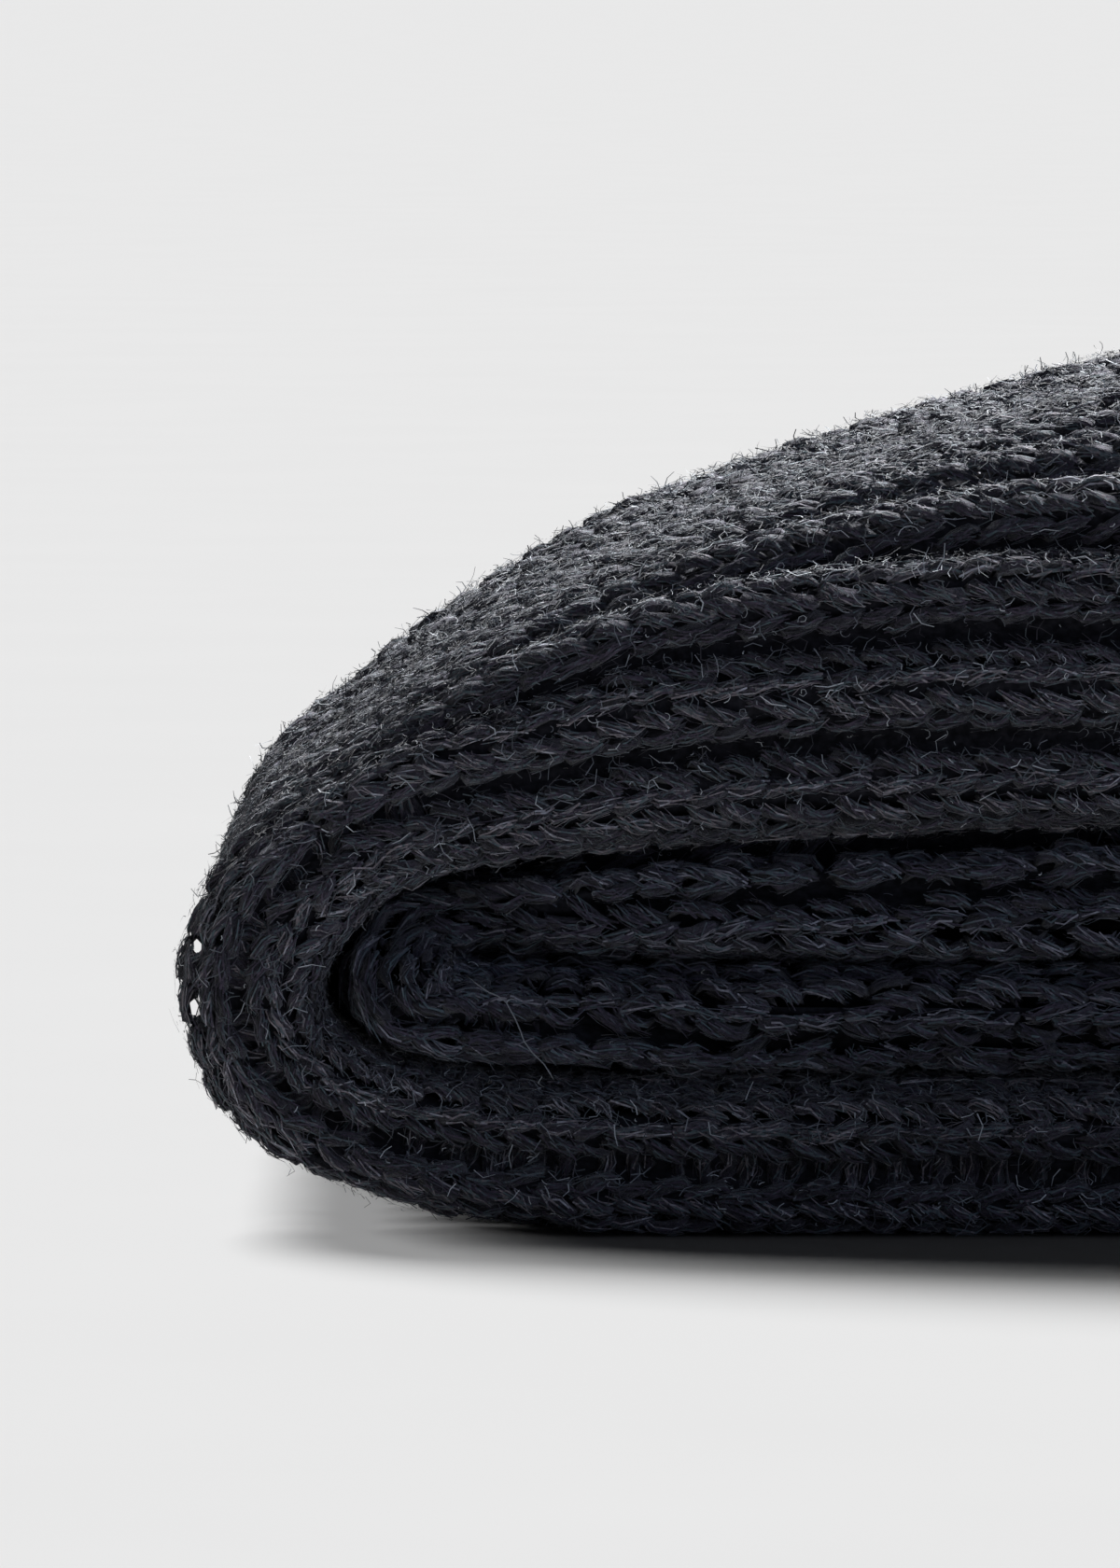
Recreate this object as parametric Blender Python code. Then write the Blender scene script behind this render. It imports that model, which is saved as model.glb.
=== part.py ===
"""A pair of ribbed knit socks, one folded in half round the other.

Each sock is a knitted tube that lies pressed flat and is folded in half across its length. Its leg is the upper run, with
the open cuff at the right, and its foot is the lower run, with the closed toe at the right. The fold is at the left. The
outer sock wraps the inner one, whose hidden layers are one rounded solid that is layered only at its edges. The ribs run
along the tube, so they stand up in every section.

All sizes below are in millimetres. X runs from the fold to the open end, Y from the near edge to the far one, Z up.
"""

import math
from collections import namedtuple

import bmesh
import bpy
import numpy as np

MM = 0.001

# The knitted fabric
RIBS_OUT = 22  # ribs across the face of the flattened tube that looks out of the fold
RIBS_IN = 18  # ribs across the face that looks into the fold
RIB_DEPTH = 1.1  # how deep the purl valley lies under the two knit columns of a rib
RIB_SLOPE = 0.24  # a narrow rib's valley is this share of its pitch deep, if that is less
DEEP_VALLEY = 1.6  # the near edge's first valley is deeper by this factor, because the bend pulls it open
CREST_AT = (0.27, 0.73)  # where a rib's flat crest starts and ends, as shares of its pitch
RIB_WRAP = 0.6  # how far the edge rib wraps round the tube's edge
THICK = 6.8  # both walls of the flattened tube, with the slit between them

# The hollow of the tube
SLIT = 0.6  # between the two walls
MOUTH = 1.7  # the same at the cuff, where the tube gapes
SOLID_EDGE = 6.0  # from the tube's edge to where its hollow starts
HOLLOW_POINTS = 16  # across the hollow, on each of its faces

CLEAR = 0.35  # between one layer and the next
SLIT_LEVEL = 11.95  # the height at which the inner sock's two runs meet
RUN_GAP = 0.3  # between these two runs

# One row for each section of a sock, in order from the cuff to the toe.
#   x, z        where the edge of the face that looks into the fold lies
#   lean        which way the section stands up: 0 upwards, 90 to the left, 180 downwards
#   rise        its height in the middle;  near, far  its half-widths;  power  how square its shoulders are
#   tuck, reach how far its edge tucks under, and over what height
#   wide        how much wider the ribs at its edges are than the mean, as a share
#   rib         the ribs' depth as a share of the full one: heel and toe are knitted plain
Section = namedtuple("Section", "x z lean rise near far power tuck reach wide rib")

OUTER_SECTIONS = [
    Section(*row)
    for row in (
        # cuff
        (192.6, 17.6, 0, 10.2, 38.2, 38.0, 3.4, 2.2, 5.5, 0.0, 0.3),
        (191.4, 17.2, 0, 11.1, 38.7, 38.5, 3.4, 2.4, 6.0, 0.0, 1.0),
        (181.0, 17.4, 0, 13.4, 39.0, 38.7, 3.5, 2.6, 6.5, 0.0, 1.0),
        # leg
        (164.0, 17.6, 0, 17.4, 39.4, 39.0, 3.8, 2.8, 7.5, 0.0, 1.0),
        (144.0, 17.9, 0, 21.6, 39.8, 39.4, 4.1, 3.0, 8.5, 0.0, 1.0),
        (122.0, 18.2, 0, 24.9, 40.0, 39.8, 4.3, 3.0, 9.0, 0.0, 1.0),
        (100.0, 18.4, 0, 26.3, 40.0, 40.0, 4.4, 3.0, 9.0, 0.0, 1.0),
        (79.0, 18.5, 0, 25.6, 40.0, 40.0, 4.6, 3.0, 9.0, 0.0, 1.0),
        (60.0, 18.5, 0, 22.8, 39.8, 39.9, 4.8, 3.0, 9.0, 0.0, 1.0),
        (44.0, 18.3, 1, 19.1, 39.5, 39.6, 5.2, 3.0, 9.0, 0.02, 1.0),
        (32.0, 17.9, 2, 15.9, 39.3, 39.2, 6.2, 2.8, 8.5, 0.1, 1.0),
        (22.5, 17.4, 4, 12.8, 39.0, 38.8, 8.0, 2.4, 7.5, 0.1, 1.0),
        # fold
        (16.5, 16.8, 8, 10.1, 38.8, 38.5, 8.0, 2.1, 6.0, 0.04, 1.0),
        (12.8, 16.2, 16, 7.8, 38.6, 38.2, 8.0, 1.8, 5.0, 0.05, 1.0),
        (10.2, 15.2, 32, 6.5, 38.4, 38.0, 8.0, 1.5, 4.0, 0.1, 1.0),
        (8.7, 13.9, 52, 6.8, 38.2, 37.8, 8.0, 1.3, 3.4, 0.15, 1.0),
        (7.6, 12.5, 72, 7.0, 38.0, 37.7, 8.0, 1.2, 3.0, 0.2, 1.0),
        (7.1, 11.1, 90, 7.1, 38.0, 38.0, 7.0, 1.2, 3.0, 0.2, 1.0),
        (7.4, 9.8, 106, 7.1, 38.0, 38.8, 7.4, 1.4, 3.0, 0.2, 1.0),
        (8.7, 8.7, 128, 7.1, 38.2, 40.0, 8.0, 1.6, 3.0, 0.2, 1.0),
        (10.8, 7.8, 146, 6.9, 38.5, 42.0, 9.0, 1.8, 2.9, 0.15, 1.0),
        (14.6, 7.1, 166, 6.95, 38.8, 45.0, 10.0, 2.0, 2.8, 0.1, 1.0),
        (19.0, 6.8, 179, 6.8, 39.0, 48.5, 10.0, 2.2, 2.8, 0.1, 1.0),
        # foot, with the heel pouch at its far edge
        (28.0, 6.8, 180, 6.8, 39.0, 53.0, 10.0, 2.2, 2.8, 0.1, 1.0),
        (40.0, 6.8, 180, 6.8, 39.0, 55.5, 10.0, 2.2, 2.8, 0.1, 1.0),
        (54.0, 6.8, 180, 6.8, 39.0, 53.0, 10.0, 2.2, 2.8, 0.1, 1.0),
        (70.0, 6.8, 180, 6.8, 39.0, 45.0, 10.0, 2.2, 2.8, 0.1, 1.0),
        (86.0, 6.8, 180, 6.8, 39.0, 40.0, 10.0, 2.2, 2.8, 0.1, 1.0),
        (112.0, 6.8, 180, 6.8, 39.0, 39.0, 10.0, 2.2, 2.8, 0.1, 1.0),
        (140.0, 6.8, 180, 6.8, 38.8, 38.8, 10.0, 2.2, 2.8, 0.1, 1.0),
        # toe
        (163.0, 6.8, 180, 6.8, 38.0, 38.0, 7.0, 2.8, 2.8, 0.1, 1.0),
        (178.0, 6.7, 180, 6.7, 35.0, 35.0, 5.5, 2.4, 2.8, 0.0, 0.5),
        (189.0, 6.4, 180, 6.2, 29.0, 29.0, 4.2, 2.0, 2.6, 0.0, 0.0),
        (196.5, 5.9, 180, 5.3, 20.5, 20.5, 3.2, 1.6, 2.2, 0.0, 0.0),
        (200.8, 5.2, 180, 3.8, 11.5, 11.5, 2.6, 1.0, 1.6, 0.0, 0.0),
        (202.6, 4.6, 180, 2.3, 4.5, 4.5, 2.2, 0.5, 1.0, 0.0, 0.0),
    )
]
OUTER_HOLLOW = (0, 33)  # its hollow runs from the cuff into the toe, from this row to the one before that
FLAT_FROM, FLAT_PRESS = 178, 1.08  # rows that lean this much rest on the table, and are pressed flat there

# The inner sock's own rows. Its edge lobes have the height that edge gives, and its upper run is crowned
# under the outer sock, as far as that sock's own rows leave room, where rise says None.
Lobe = namedtuple("Lobe", "x z lean edge rise near far tuck reach wide rib")
UPPER_Z, LOWER_Z = SLIT_LEVEL + RUN_GAP / 2, SLIT_LEVEL - RUN_GAP / 2

INNER_SECTIONS = [
    Lobe(*row)
    for row in (
        # cuff
        (196.0, UPPER_Z + 0.4, 0, 4.2, 7.2, 35.8, 35.6, 1.0, 1.6, 0.1, 0.3),
        (194.8, UPPER_Z, 0, 4.6, 8.0, 36.2, 36.0, 1.2, 1.8, 0.1, 1.0),
        (192.6, UPPER_Z, 0, 4.6, None, 36.2, 36.0, 1.2, 1.8, 0.1, 1.0),
        (191.4, UPPER_Z, 0, 4.6, None, 36.2, 36.0, 1.2, 1.8, 0.1, 1.0),
        (181.0, UPPER_Z, 0, 4.6, None, 36.4, 36.2, 1.2, 1.8, 0.1, 1.0),
        # leg
        (164.0, UPPER_Z, 0, 5.0, None, 36.6, 36.4, 1.2, 1.8, 0.1, 1.0),
        (122.0, UPPER_Z, 0, 5.7, None, 36.6, 36.6, 1.2, 1.8, 0.1, 1.0),
        (79.0, UPPER_Z, 0, 5.8, None, 36.6, 36.8, 1.2, 1.8, 0.1, 1.0),
        (60.0, UPPER_Z, 0, 5.7, None, 36.5, 36.8, 1.2, 1.8, 0.1, 1.0),
        (44.0, UPPER_Z, 0, 5.5, None, 36.4, 36.6, 1.2, 1.8, 0.1, 1.0),
        (32.0, UPPER_Z, 0, 5.1, None, 36.2, 36.3, 1.2, 1.8, 0.1, 1.0),
        (22.5, UPPER_Z, 0, 4.7, None, 36.0, 36.0, 2.4, 2.8, 0.1, 1.0),
        # fold, whose near corner is drawn in above the slit
        (17.5, UPPER_Z, 6, 4.0, 4.0, 34.8, 35.6, 3.2, 3.0, 0.1, 1.0),
        (14.4, UPPER_Z, 20, 3.6, 3.6, 32.6, 35.2, 2.6, 2.8, 0.1, 1.0),
        (13.1, 12.1, 46, 3.8, 3.8, 31.6, 35.0, 1.2, 2.0, 0.1, 1.0),
        (12.8, 12.0, 70, 4.3, 4.3, 34.2, 35.0, 1.0, 1.8, 0.1, 1.0),
        (12.8, 11.95, 94, 4.8, 4.8, 36.8, 35.4, 1.0, 1.8, 0.1, 1.0),
        (12.9, 11.9, 114, 5.1, 5.1, 37.4, 35.8, 1.0, 1.8, 0.1, 1.0),
        (13.1, 11.87, 136, 4.8, 4.8, 37.6, 36.6, 1.2, 1.8, 0.1, 1.0),
        (14.2, 11.85, 158, 4.5, 4.5, 37.6, 38.0, 2.6, 2.4, 0.1, 1.0),
        (18.0, LOWER_Z, 174, 4.6, 4.6, 37.6, 41.0, 3.2, 2.8, 0.1, 1.0),
        # foot, with the heel pouch at its far edge
        (28.0, LOWER_Z, 180, 4.65, 4.65, 37.6, 47.0, 1.2, 1.8, 0.1, 1.0),
        (40.0, LOWER_Z, 180, 4.65, 4.65, 37.6, 49.5, 1.2, 1.8, 0.1, 1.0),
        (54.0, LOWER_Z, 180, 4.65, 4.65, 37.6, 47.0, 1.2, 1.8, 0.1, 1.0),
        (72.0, LOWER_Z, 180, 4.65, 4.65, 37.6, 40.0, 1.2, 1.8, 0.1, 1.0),
        (90.0, LOWER_Z, 180, 4.65, 4.65, 37.4, 37.0, 1.2, 1.8, 0.1, 1.0),
        (140.0, LOWER_Z, 180, 4.65, 4.65, 37.0, 36.8, 1.2, 1.8, 0.1, 1.0),
        # toe
        (166.0, LOWER_Z, 180, 4.4, 4.4, 35.2, 35.2, 1.2, 1.8, 0.0, 0.6),
        (180.0, LOWER_Z, 180, 4.3, 4.3, 30.5, 30.5, 1.2, 1.8, 0.0, 0.0),
        (189.5, 11.3, 180, 3.8, 3.8, 21.0, 21.0, 1.0, 1.6, 0.0, 0.0),
        (194.6, 10.6, 180, 2.8, 2.8, 10.5, 10.5, 0.8, 1.2, 0.0, 0.0),
        (196.2, 10.1, 180, 1.7, 1.7, 4.0, 4.0, 0.4, 0.8, 0.0, 0.0),
    )
]
INNER_HOLLOW = (0, 5)  # only its mouth is hollow
LOBE_POWER = 12  # how square the lobes at the inner sock's edges are
CROWN_POWER = 3.2  # the same for its crown

CURVE_POINTS = 96  # on a quarter of a section, before the ribs are set out on it
NORMAL_REACH = 0.8  # over what length along a section its direction is taken


def clear_scene():
    for thing in list(bpy.data.objects):
        bpy.data.objects.remove(thing, do_unlink=True)


def wool(name, colour, roughness):
    """Charcoal wool yarn, as one plain finish."""
    material = bpy.data.materials.new(name)
    material.use_nodes = True
    shader = material.node_tree.nodes["Principled BSDF"]
    shader.inputs["Base Color"].default_value = (*colour, 1)
    shader.inputs["Roughness"].default_value = roughness
    shader.inputs["Metallic"].default_value = 0
    return material


def quarter(width, height, power):
    """A quarter of a superellipse, from its side (width, 0) to its top (0, height)."""
    part = np.linspace(0, 1, CURVE_POINTS)
    angle = (part**3 * (10 - 15 * part + 6 * part**2)) * math.pi / 2
    across = width * np.clip(np.cos(angle), 0, 1) ** (2 / power)
    return across, height * np.sin(angle) ** (2 / power)


def tucked(across, out, section):
    """The same half with its edge drawn in at the bottom."""
    low = np.clip(1 - out / section.reach, 0, 1)
    return across - section.tuck * low**2


def outer_half(section, width):
    """Half of the outer sock's section: (across, out) of the face out of the fold, and of the face into it."""
    thick = min(section.rise, THICK)
    press = FLAT_PRESS if section.lean > FLAT_FROM and section.rib > 0 else 1
    across, out = quarter(width, section.rise * press, section.power)
    out = np.minimum(out, section.rise)
    inside, inside_out = quarter(width - min(thick, width / 2), section.rise - thick, section.power)
    return tucked(across, out, section), out, inside, inside_out


def room_under_outer(x):
    """What the outer sock leaves at x: the height of its edge, the height of its inner face, its inner half-widths."""
    upper = sorted((s for s in OUTER_SECTIONS if s.lean < 10), key=lambda s: s.x)
    places = [s.x for s in upper]
    lip = np.interp(x, places, [s.z for s in upper])
    top = np.interp(x, places, [s.z + s.rise - THICK for s in upper])
    widths = [np.interp(x, places, [getattr(s, side) - THICK for s in upper]) for side in ("near", "far")]
    return lip, top, widths


def inner_half(section, width, side):
    """Half of the inner sock's section. Above its edge lobe, an upper section has a crown under the outer sock."""
    across, out = quarter(width, section.edge, LOBE_POWER)
    if section.lean == 0:
        lip, top, widths = room_under_outer(min(section.x, OUTER_SECTIONS[0].x))
        rise = section.rise or top - CLEAR - section.z
        foot = max(lip - section.z, section.edge)
        crown, up = quarter(widths[side] - CLEAR, rise - foot, CROWN_POWER)
        lobe = across > crown[0] + 0.2
        across = np.concatenate([across[lobe], crown])
        out = np.concatenate([out[lobe], foot + up])
    return tucked(across, out, section), out, across * (1 - section.edge / width), out * 0


def section_curves(halves):
    """Joins the near and the far half: (points of the face out of the fold, of the face into it), near to far."""
    (near_y, near_out, near_in_y, near_in), (far_y, far_out, far_in_y, far_in) = halves
    out = np.column_stack([np.r_[-near_y, far_y[::-1][1:]], np.r_[near_out, far_out[::-1][1:]]])
    inside = np.column_stack([np.r_[-near_in_y, far_in_y[::-1][1:]], np.r_[near_in, far_in[::-1][1:]]])
    return out, inside


def lengths_along(points):
    return np.r_[0, np.cumsum(np.linalg.norm(np.diff(points, axis=0), axis=1))]


def at_lengths(points, along, wanted):
    return np.column_stack([np.interp(wanted, along, points[:, k]) for k in range(2)])


def rib_lengths(start, end, ribs, marks, wide):
    """Where the points of the ribs lie between start and end: the valley before each rib, then its marks."""
    share = (np.arange(ribs)[:, None] + np.array((0.0, *marks))).ravel() / ribs
    share = share + wide * np.sin(2 * math.pi * share) / (2 * math.pi)
    return start + share * (end - start)


def ribbed_ring(out, inside, section):
    """The outer points of one section, with its ribs raised, as (across, out) in mm."""
    loop = np.concatenate([out, inside[::-1], out[:1]])
    along = lengths_along(loop)
    total, face = along[-1], lengths_along(out)[-1]
    outward = rib_lengths(-RIB_WRAP, face + RIB_WRAP, RIBS_OUT, CREST_AT, section.wide)
    inward = rib_lengths(face + RIB_WRAP, total - RIB_WRAP, RIBS_IN, (0.5,), 0)
    pitch = np.r_[np.full(len(outward), face / RIBS_OUT), np.full(len(inward), (total - face) / RIBS_IN)]
    depth = np.r_[np.tile([1.0, 0, 0], RIBS_OUT), np.tile([1.0, 0], RIBS_IN)]
    depth = depth * np.minimum(RIB_DEPTH, RIB_SLOPE * pitch)
    if section.lean < 60 and face > RIBS_OUT * 4:
        depth[len(CREST_AT) + 1] *= DEEP_VALLEY
    wanted = np.r_[outward, inward]
    places = at_lengths(loop, along, wanted % total)
    before = at_lengths(loop, along, (wanted - NORMAL_REACH) % total)
    after = at_lengths(loop, along, (wanted + NORMAL_REACH) % total)
    run = after - before
    run /= np.maximum(np.linalg.norm(run, axis=1), 1e-6)[:, None]
    into = np.column_stack([run[:, 1], -run[:, 0]])  # the loop turns clockwise, so this points into the cloth
    depth = depth * section.rib
    if section.lean > FLAT_FROM:
        depth[places[:, 1] > section.rise - 1e-6] = 0
    return places + into * depth[:, None]


def hollow_share(length):
    """How far across a face of this length the points of the hollow lie, as shares of it."""
    margin = min(SOLID_EDGE / length, 0.3)
    return np.linspace(margin, 1 - margin, HOLLOW_POINTS)


def hollow_ring(out, inside, gap):
    """The inside of the tube at one section: the face under its outer wall, then the one over its inner wall."""
    along = lengths_along(out)
    pick = np.searchsorted(along, hollow_share(along[-1]) * along[-1])
    middle, wall = (out[pick] + inside[pick]) / 2, out[pick] - inside[pick]
    half = wall * (gap / 2 / np.linalg.norm(wall, axis=1))[:, None]
    return np.concatenate([middle + half, (middle - half)[::-1]])


def placed(ring, section):
    """A section's points in the sock's own axes, in metres."""
    lean = math.radians(section.lean)
    across, out = ring[:, 0], ring[:, 1]
    return np.column_stack([section.x - math.sin(lean) * out, across, section.z + math.cos(lean) * out]) * MM


def ring_faces(rings):
    """Triangles between each ring of vertices and the next, by the shorter diagonal."""
    for a, b in zip(rings, rings[1:]):
        for i in range(len(a)):
            j = (i + 1) % len(a)
            if (a[i].co - b[j].co).length < (a[j].co - b[i].co).length:
                yield a[i], a[j], b[j]
                yield a[i], b[j], b[i]
            else:
                yield a[i], a[j], b[i]
                yield a[j], b[j], b[i]


def rim_faces(outer, outer_share, inner, inner_share):
    """Triangles between two rings of unlike length, in step with each point's share of the way round."""
    outer_share, inner_share = (np.r_[share, 1.0 + share[0], 2.0] for share in (outer_share, inner_share))
    i = j = 0
    while i < len(outer) or j < len(inner):
        a, b = outer[i % len(outer)], inner[j % len(inner)]
        halfway = (inner_share[j] + inner_share[j + 1]) / 2
        if j >= len(inner) or (i < len(outer) and outer_share[i + 1] <= halfway):
            i += 1
            yield a, outer[i % len(outer)], b
        else:
            j += 1
            yield a, inner[j % len(inner)], b


def slit_faces(ring):
    """Closes the end of the hollow, from its upper face to its lower one."""
    last = len(ring) - 1
    for i in range(HOLLOW_POINTS - 1):
        yield ring[i], ring[i + 1], ring[last - i - 1]
        yield ring[i], ring[last - i - 1], ring[last - i]


def knitted_sock(name, sections, half, hollow, material):
    """A folded tube as one closed solid: ribbed faces, a rim at the cuff, a hollow and a closed toe."""
    mesh = bmesh.new()
    outer_rings, hollow_rings = [], []
    for number, section in enumerate(sections):
        out, inside = section_curves([half(section, section.near, 0), half(section, section.far, 1)])
        ring = placed(ribbed_ring(out, inside, section), section)
        outer_rings.append([mesh.verts.new(p) for p in ring])
        if hollow[0] <= number < hollow[1]:
            gap = MOUTH if number < 2 else SLIT
            ring = placed(hollow_ring(out, inside, gap), section)
            hollow_rings.append([mesh.verts.new(p) for p in ring])
    faces = list(ring_faces(outer_rings)) + list(ring_faces(hollow_rings))
    out_share = np.arange(RIBS_OUT * 3) / (RIBS_OUT * 6)
    in_share = 0.5 + np.arange(RIBS_IN * 2) / (RIBS_IN * 4)
    mouth_share = hollow_share(2 * sections[0].near + sections[0].rise) / 2
    faces += rim_faces(outer_rings[0], np.r_[out_share, in_share], hollow_rings[0], np.r_[mouth_share, 0.5 + mouth_share])
    faces += slit_faces(hollow_rings[-1])
    toe = outer_rings[-1]
    tip = mesh.verts.new(np.mean([v.co for v in toe], axis=0))
    faces += [(toe[i], toe[(i + 1) % len(toe)], tip) for i in range(len(toe))]
    for face in faces:
        mesh.faces.new(face)
    bmesh.ops.recalc_face_normals(mesh, faces=mesh.faces)
    data = bpy.data.meshes.new(name)
    mesh.to_mesh(data)
    mesh.free()
    data.materials.append(material)
    data.shade_smooth()
    data.set_sharp_from_angle(angle=math.radians(50))
    return bpy.data.objects.new(name, data)


def stand_at_origin(socks):
    """Moves the pair so that the middle of its box stands over the origin, with its underside at zero."""
    corners = np.array([vertex.co for sock in socks for vertex in sock.data.vertices])
    low, high = corners.min(axis=0), corners.max(axis=0)
    for sock in socks:
        sock.location = (-(low[0] + high[0]) / 2, -(low[1] + high[1]) / 2, -low[2])


clear_scene()
pair = bpy.data.collections.new("ribbed_socks_folded_pair")
bpy.context.scene.collection.children.link(pair)
socks = [
    knitted_sock(
        "sock_outer",
        OUTER_SECTIONS,
        lambda section, width, side: outer_half(section, width),
        OUTER_HOLLOW,
        wool("charcoal_wool_rib", (0.020, 0.020, 0.024), 0.95),
    ),
    knitted_sock(
        "sock_inner",
        INNER_SECTIONS,
        inner_half,
        INNER_HOLLOW,
        wool("charcoal_wool_rib_shaded", (0.012, 0.012, 0.016), 0.95),
    ),
]
stand_at_origin(socks)
for sock in socks:
    pair.objects.link(sock)
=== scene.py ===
# %% [markdown]
# # A pair of ribbed wool socks, folded in half
#
# The real thing is two thick knitted tubes that lie on each other and are folded in half together,
# once. We see the fold from its near edge: one sock wraps the other like a hairpin, and the ribs run
# along the tubes.
#
# A knitted cloth has no smooth surface at all. It is one strand of wool in loops, so this file builds
# that: first the form of each tube as a grid, then a dark inner wall on that grid, then every visible
# stitch as two real legs of yarn, and last the loose hairs that make wool look like wool.

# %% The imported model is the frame
import math
from collections import namedtuple

import bpy
import numpy as np
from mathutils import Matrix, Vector
from mathutils.bvhtree import BVHTree


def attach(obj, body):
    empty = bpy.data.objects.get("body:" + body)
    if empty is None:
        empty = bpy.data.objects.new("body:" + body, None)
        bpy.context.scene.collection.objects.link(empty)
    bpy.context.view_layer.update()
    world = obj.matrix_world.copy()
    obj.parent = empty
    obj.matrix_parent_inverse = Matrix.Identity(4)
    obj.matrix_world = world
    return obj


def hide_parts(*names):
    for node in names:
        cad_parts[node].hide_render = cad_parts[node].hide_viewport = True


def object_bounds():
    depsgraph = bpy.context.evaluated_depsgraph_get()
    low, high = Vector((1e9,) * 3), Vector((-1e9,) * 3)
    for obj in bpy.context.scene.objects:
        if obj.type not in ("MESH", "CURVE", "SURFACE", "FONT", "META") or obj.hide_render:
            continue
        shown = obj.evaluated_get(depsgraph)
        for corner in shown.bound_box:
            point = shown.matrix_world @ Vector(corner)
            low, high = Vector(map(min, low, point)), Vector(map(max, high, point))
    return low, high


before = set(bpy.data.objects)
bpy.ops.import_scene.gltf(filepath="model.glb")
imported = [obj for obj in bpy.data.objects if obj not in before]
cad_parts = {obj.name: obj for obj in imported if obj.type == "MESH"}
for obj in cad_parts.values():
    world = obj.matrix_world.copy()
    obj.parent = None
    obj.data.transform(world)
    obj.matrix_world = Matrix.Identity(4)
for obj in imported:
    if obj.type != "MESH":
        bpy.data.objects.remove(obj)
cad_low, cad_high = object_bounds()
MM = 0.001
print("frame in mm:", [round(v / MM, 1) for v in (*cad_low, *cad_high)])

# %% [markdown]
# ## Where things are
#
# The tables below are written in the sock's own millimetres: x from the tip of the fold to the open
# end, y across, z up. The frame stands on its own middle, so one shift takes the sock's numbers to the
# frame's.

# %% The sock's own axes in the frame
NEAR_EDGE = 39.9  # from the middle of the tube to its near edge, where the frame's box starts
shift = np.array([cad_low.x / MM, cad_low.y / MM + NEAR_EDGE, 0.0])


def in_frame(points):
    """Points in the sock's own millimetres, as metres in the frame."""
    return (np.asarray(points) + shift) * MM


print("shift in mm:", shift.round(2))

# %% [markdown]
# ## The camera
#
# The photograph is a close-up of the fold, from almost level and a little above. It shows 50 by 70 mm
# of the near edge, so a long lens from half a metre away gives the same flat perspective.

# %% A long lens on the near edge
SEEN_HEIGHT = 70.0  # mm of the near edge that the frame's height shows
CAMERA_AWAY = 550.0
CAMERA_TILT = math.radians(4)
AIM = np.array([17.85, -NEAR_EDGE, 20.53])  # the middle of the frame, on the near edge
SENSOR = 36.0


def placed(name, data):
    """A new object in the scene that shows this mesh, lamp or camera."""
    made = bpy.data.objects.new(name, data)
    bpy.context.scene.collection.objects.link(made)
    return made


camera = placed("camera", bpy.data.cameras.new("camera"))
back = np.array([0.0, -math.cos(CAMERA_TILT), math.sin(CAMERA_TILT)])
camera.location = in_frame(AIM + back * CAMERA_AWAY)
camera.rotation_euler = (math.pi / 2 - CAMERA_TILT, 0, 0)
camera.data.sensor_width = SENSOR
camera.data.lens = SENSOR * CAMERA_AWAY / SEEN_HEIGHT
camera.data.clip_start = 0.01
bpy.context.scene.camera = camera
print("lens in mm:", round(camera.data.lens, 1))

# %% [markdown]
# ## Colours and nodes
#
# Colours are picked as sRGB hex values, as in any paint program, and the shader wants them linear.
# Nodes are added by one small function that takes a node's settings and what goes into its inputs: a
# value, or another node's output.

# %% Helpers for every material


def linear(hex_colour):
    """An sRGB hex colour as the linear values that a shader takes."""
    shares = [int(hex_colour[i : i + 2], 16) / 255 for i in (1, 3, 5)]
    return (*(s / 12.92 if s <= 0.04045 else ((s + 0.055) / 1.055) ** 2.4 for s in shares), 1.0)


def add_node(material, kind, inputs=None, **settings):
    """Adds a node with its settings, and fills its inputs with values or with links."""
    made = material.node_tree.nodes.new(kind)
    for name, value in settings.items():
        setattr(made, name, value)
    for name, value in (inputs or {}).items():
        if isinstance(value, bpy.types.NodeSocket):
            material.node_tree.links.new(value, made.inputs[name])
        else:
            made.inputs[name].default_value = value
    return made


def fill_ramp(ramp, stops):
    """Puts (place, hex colour) stops on a colour ramp."""
    elements = ramp.color_ramp.elements
    while len(elements) < len(stops):
        elements.new(0.5)
    for element, (place, colour) in zip(elements, stops):
        element.position, element.color = place, linear(colour)


def finished(name, shader_settings, stops):
    """A new material: its plain settings on the shader, and a colour ramp that feeds its colour."""
    material = bpy.data.materials.new(name)
    material.use_nodes = True
    shader = material.node_tree.nodes["Principled BSDF"]
    for socket, value in shader_settings.items():
        shader.inputs[socket].default_value = value
    ramp = add_node(material, "ShaderNodeValToRGB")
    fill_ramp(ramp, stops)
    material.node_tree.links.new(ramp.outputs["Color"], shader.inputs["Base Color"])
    return material, shader, ramp


# %% [markdown]
# ## The form of the tubes
#
# A tube of knitting that lies flat has a section like a very flat loop. Each row of the tables is one
# such section, with the place and lean of its plane, so a short list of rows describes the whole
# hairpin. Between rows the values are read from a curve that never overshoots, because a bulge between
# two rows would push one layer through the next.

# %% The sections of the outer sock
#   x, z        where the edge of the face that looks into the fold lies
#   lean        which way the section stands up: 0 upwards, 90 to the left, 180 downwards
#   rise        its height in the middle;  near, far  its half-widths;  power  how square its shoulders are
#   tuck, reach how far its edge tucks under, and over what height
#   wide        how much wider the ribs at its edges are than the mean, as a share
#   rib         the ribs' depth as a share of the full one: heel and toe are knitted plain
Section = namedtuple("Section", "x z lean rise near far power tuck reach wide rib")

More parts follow.
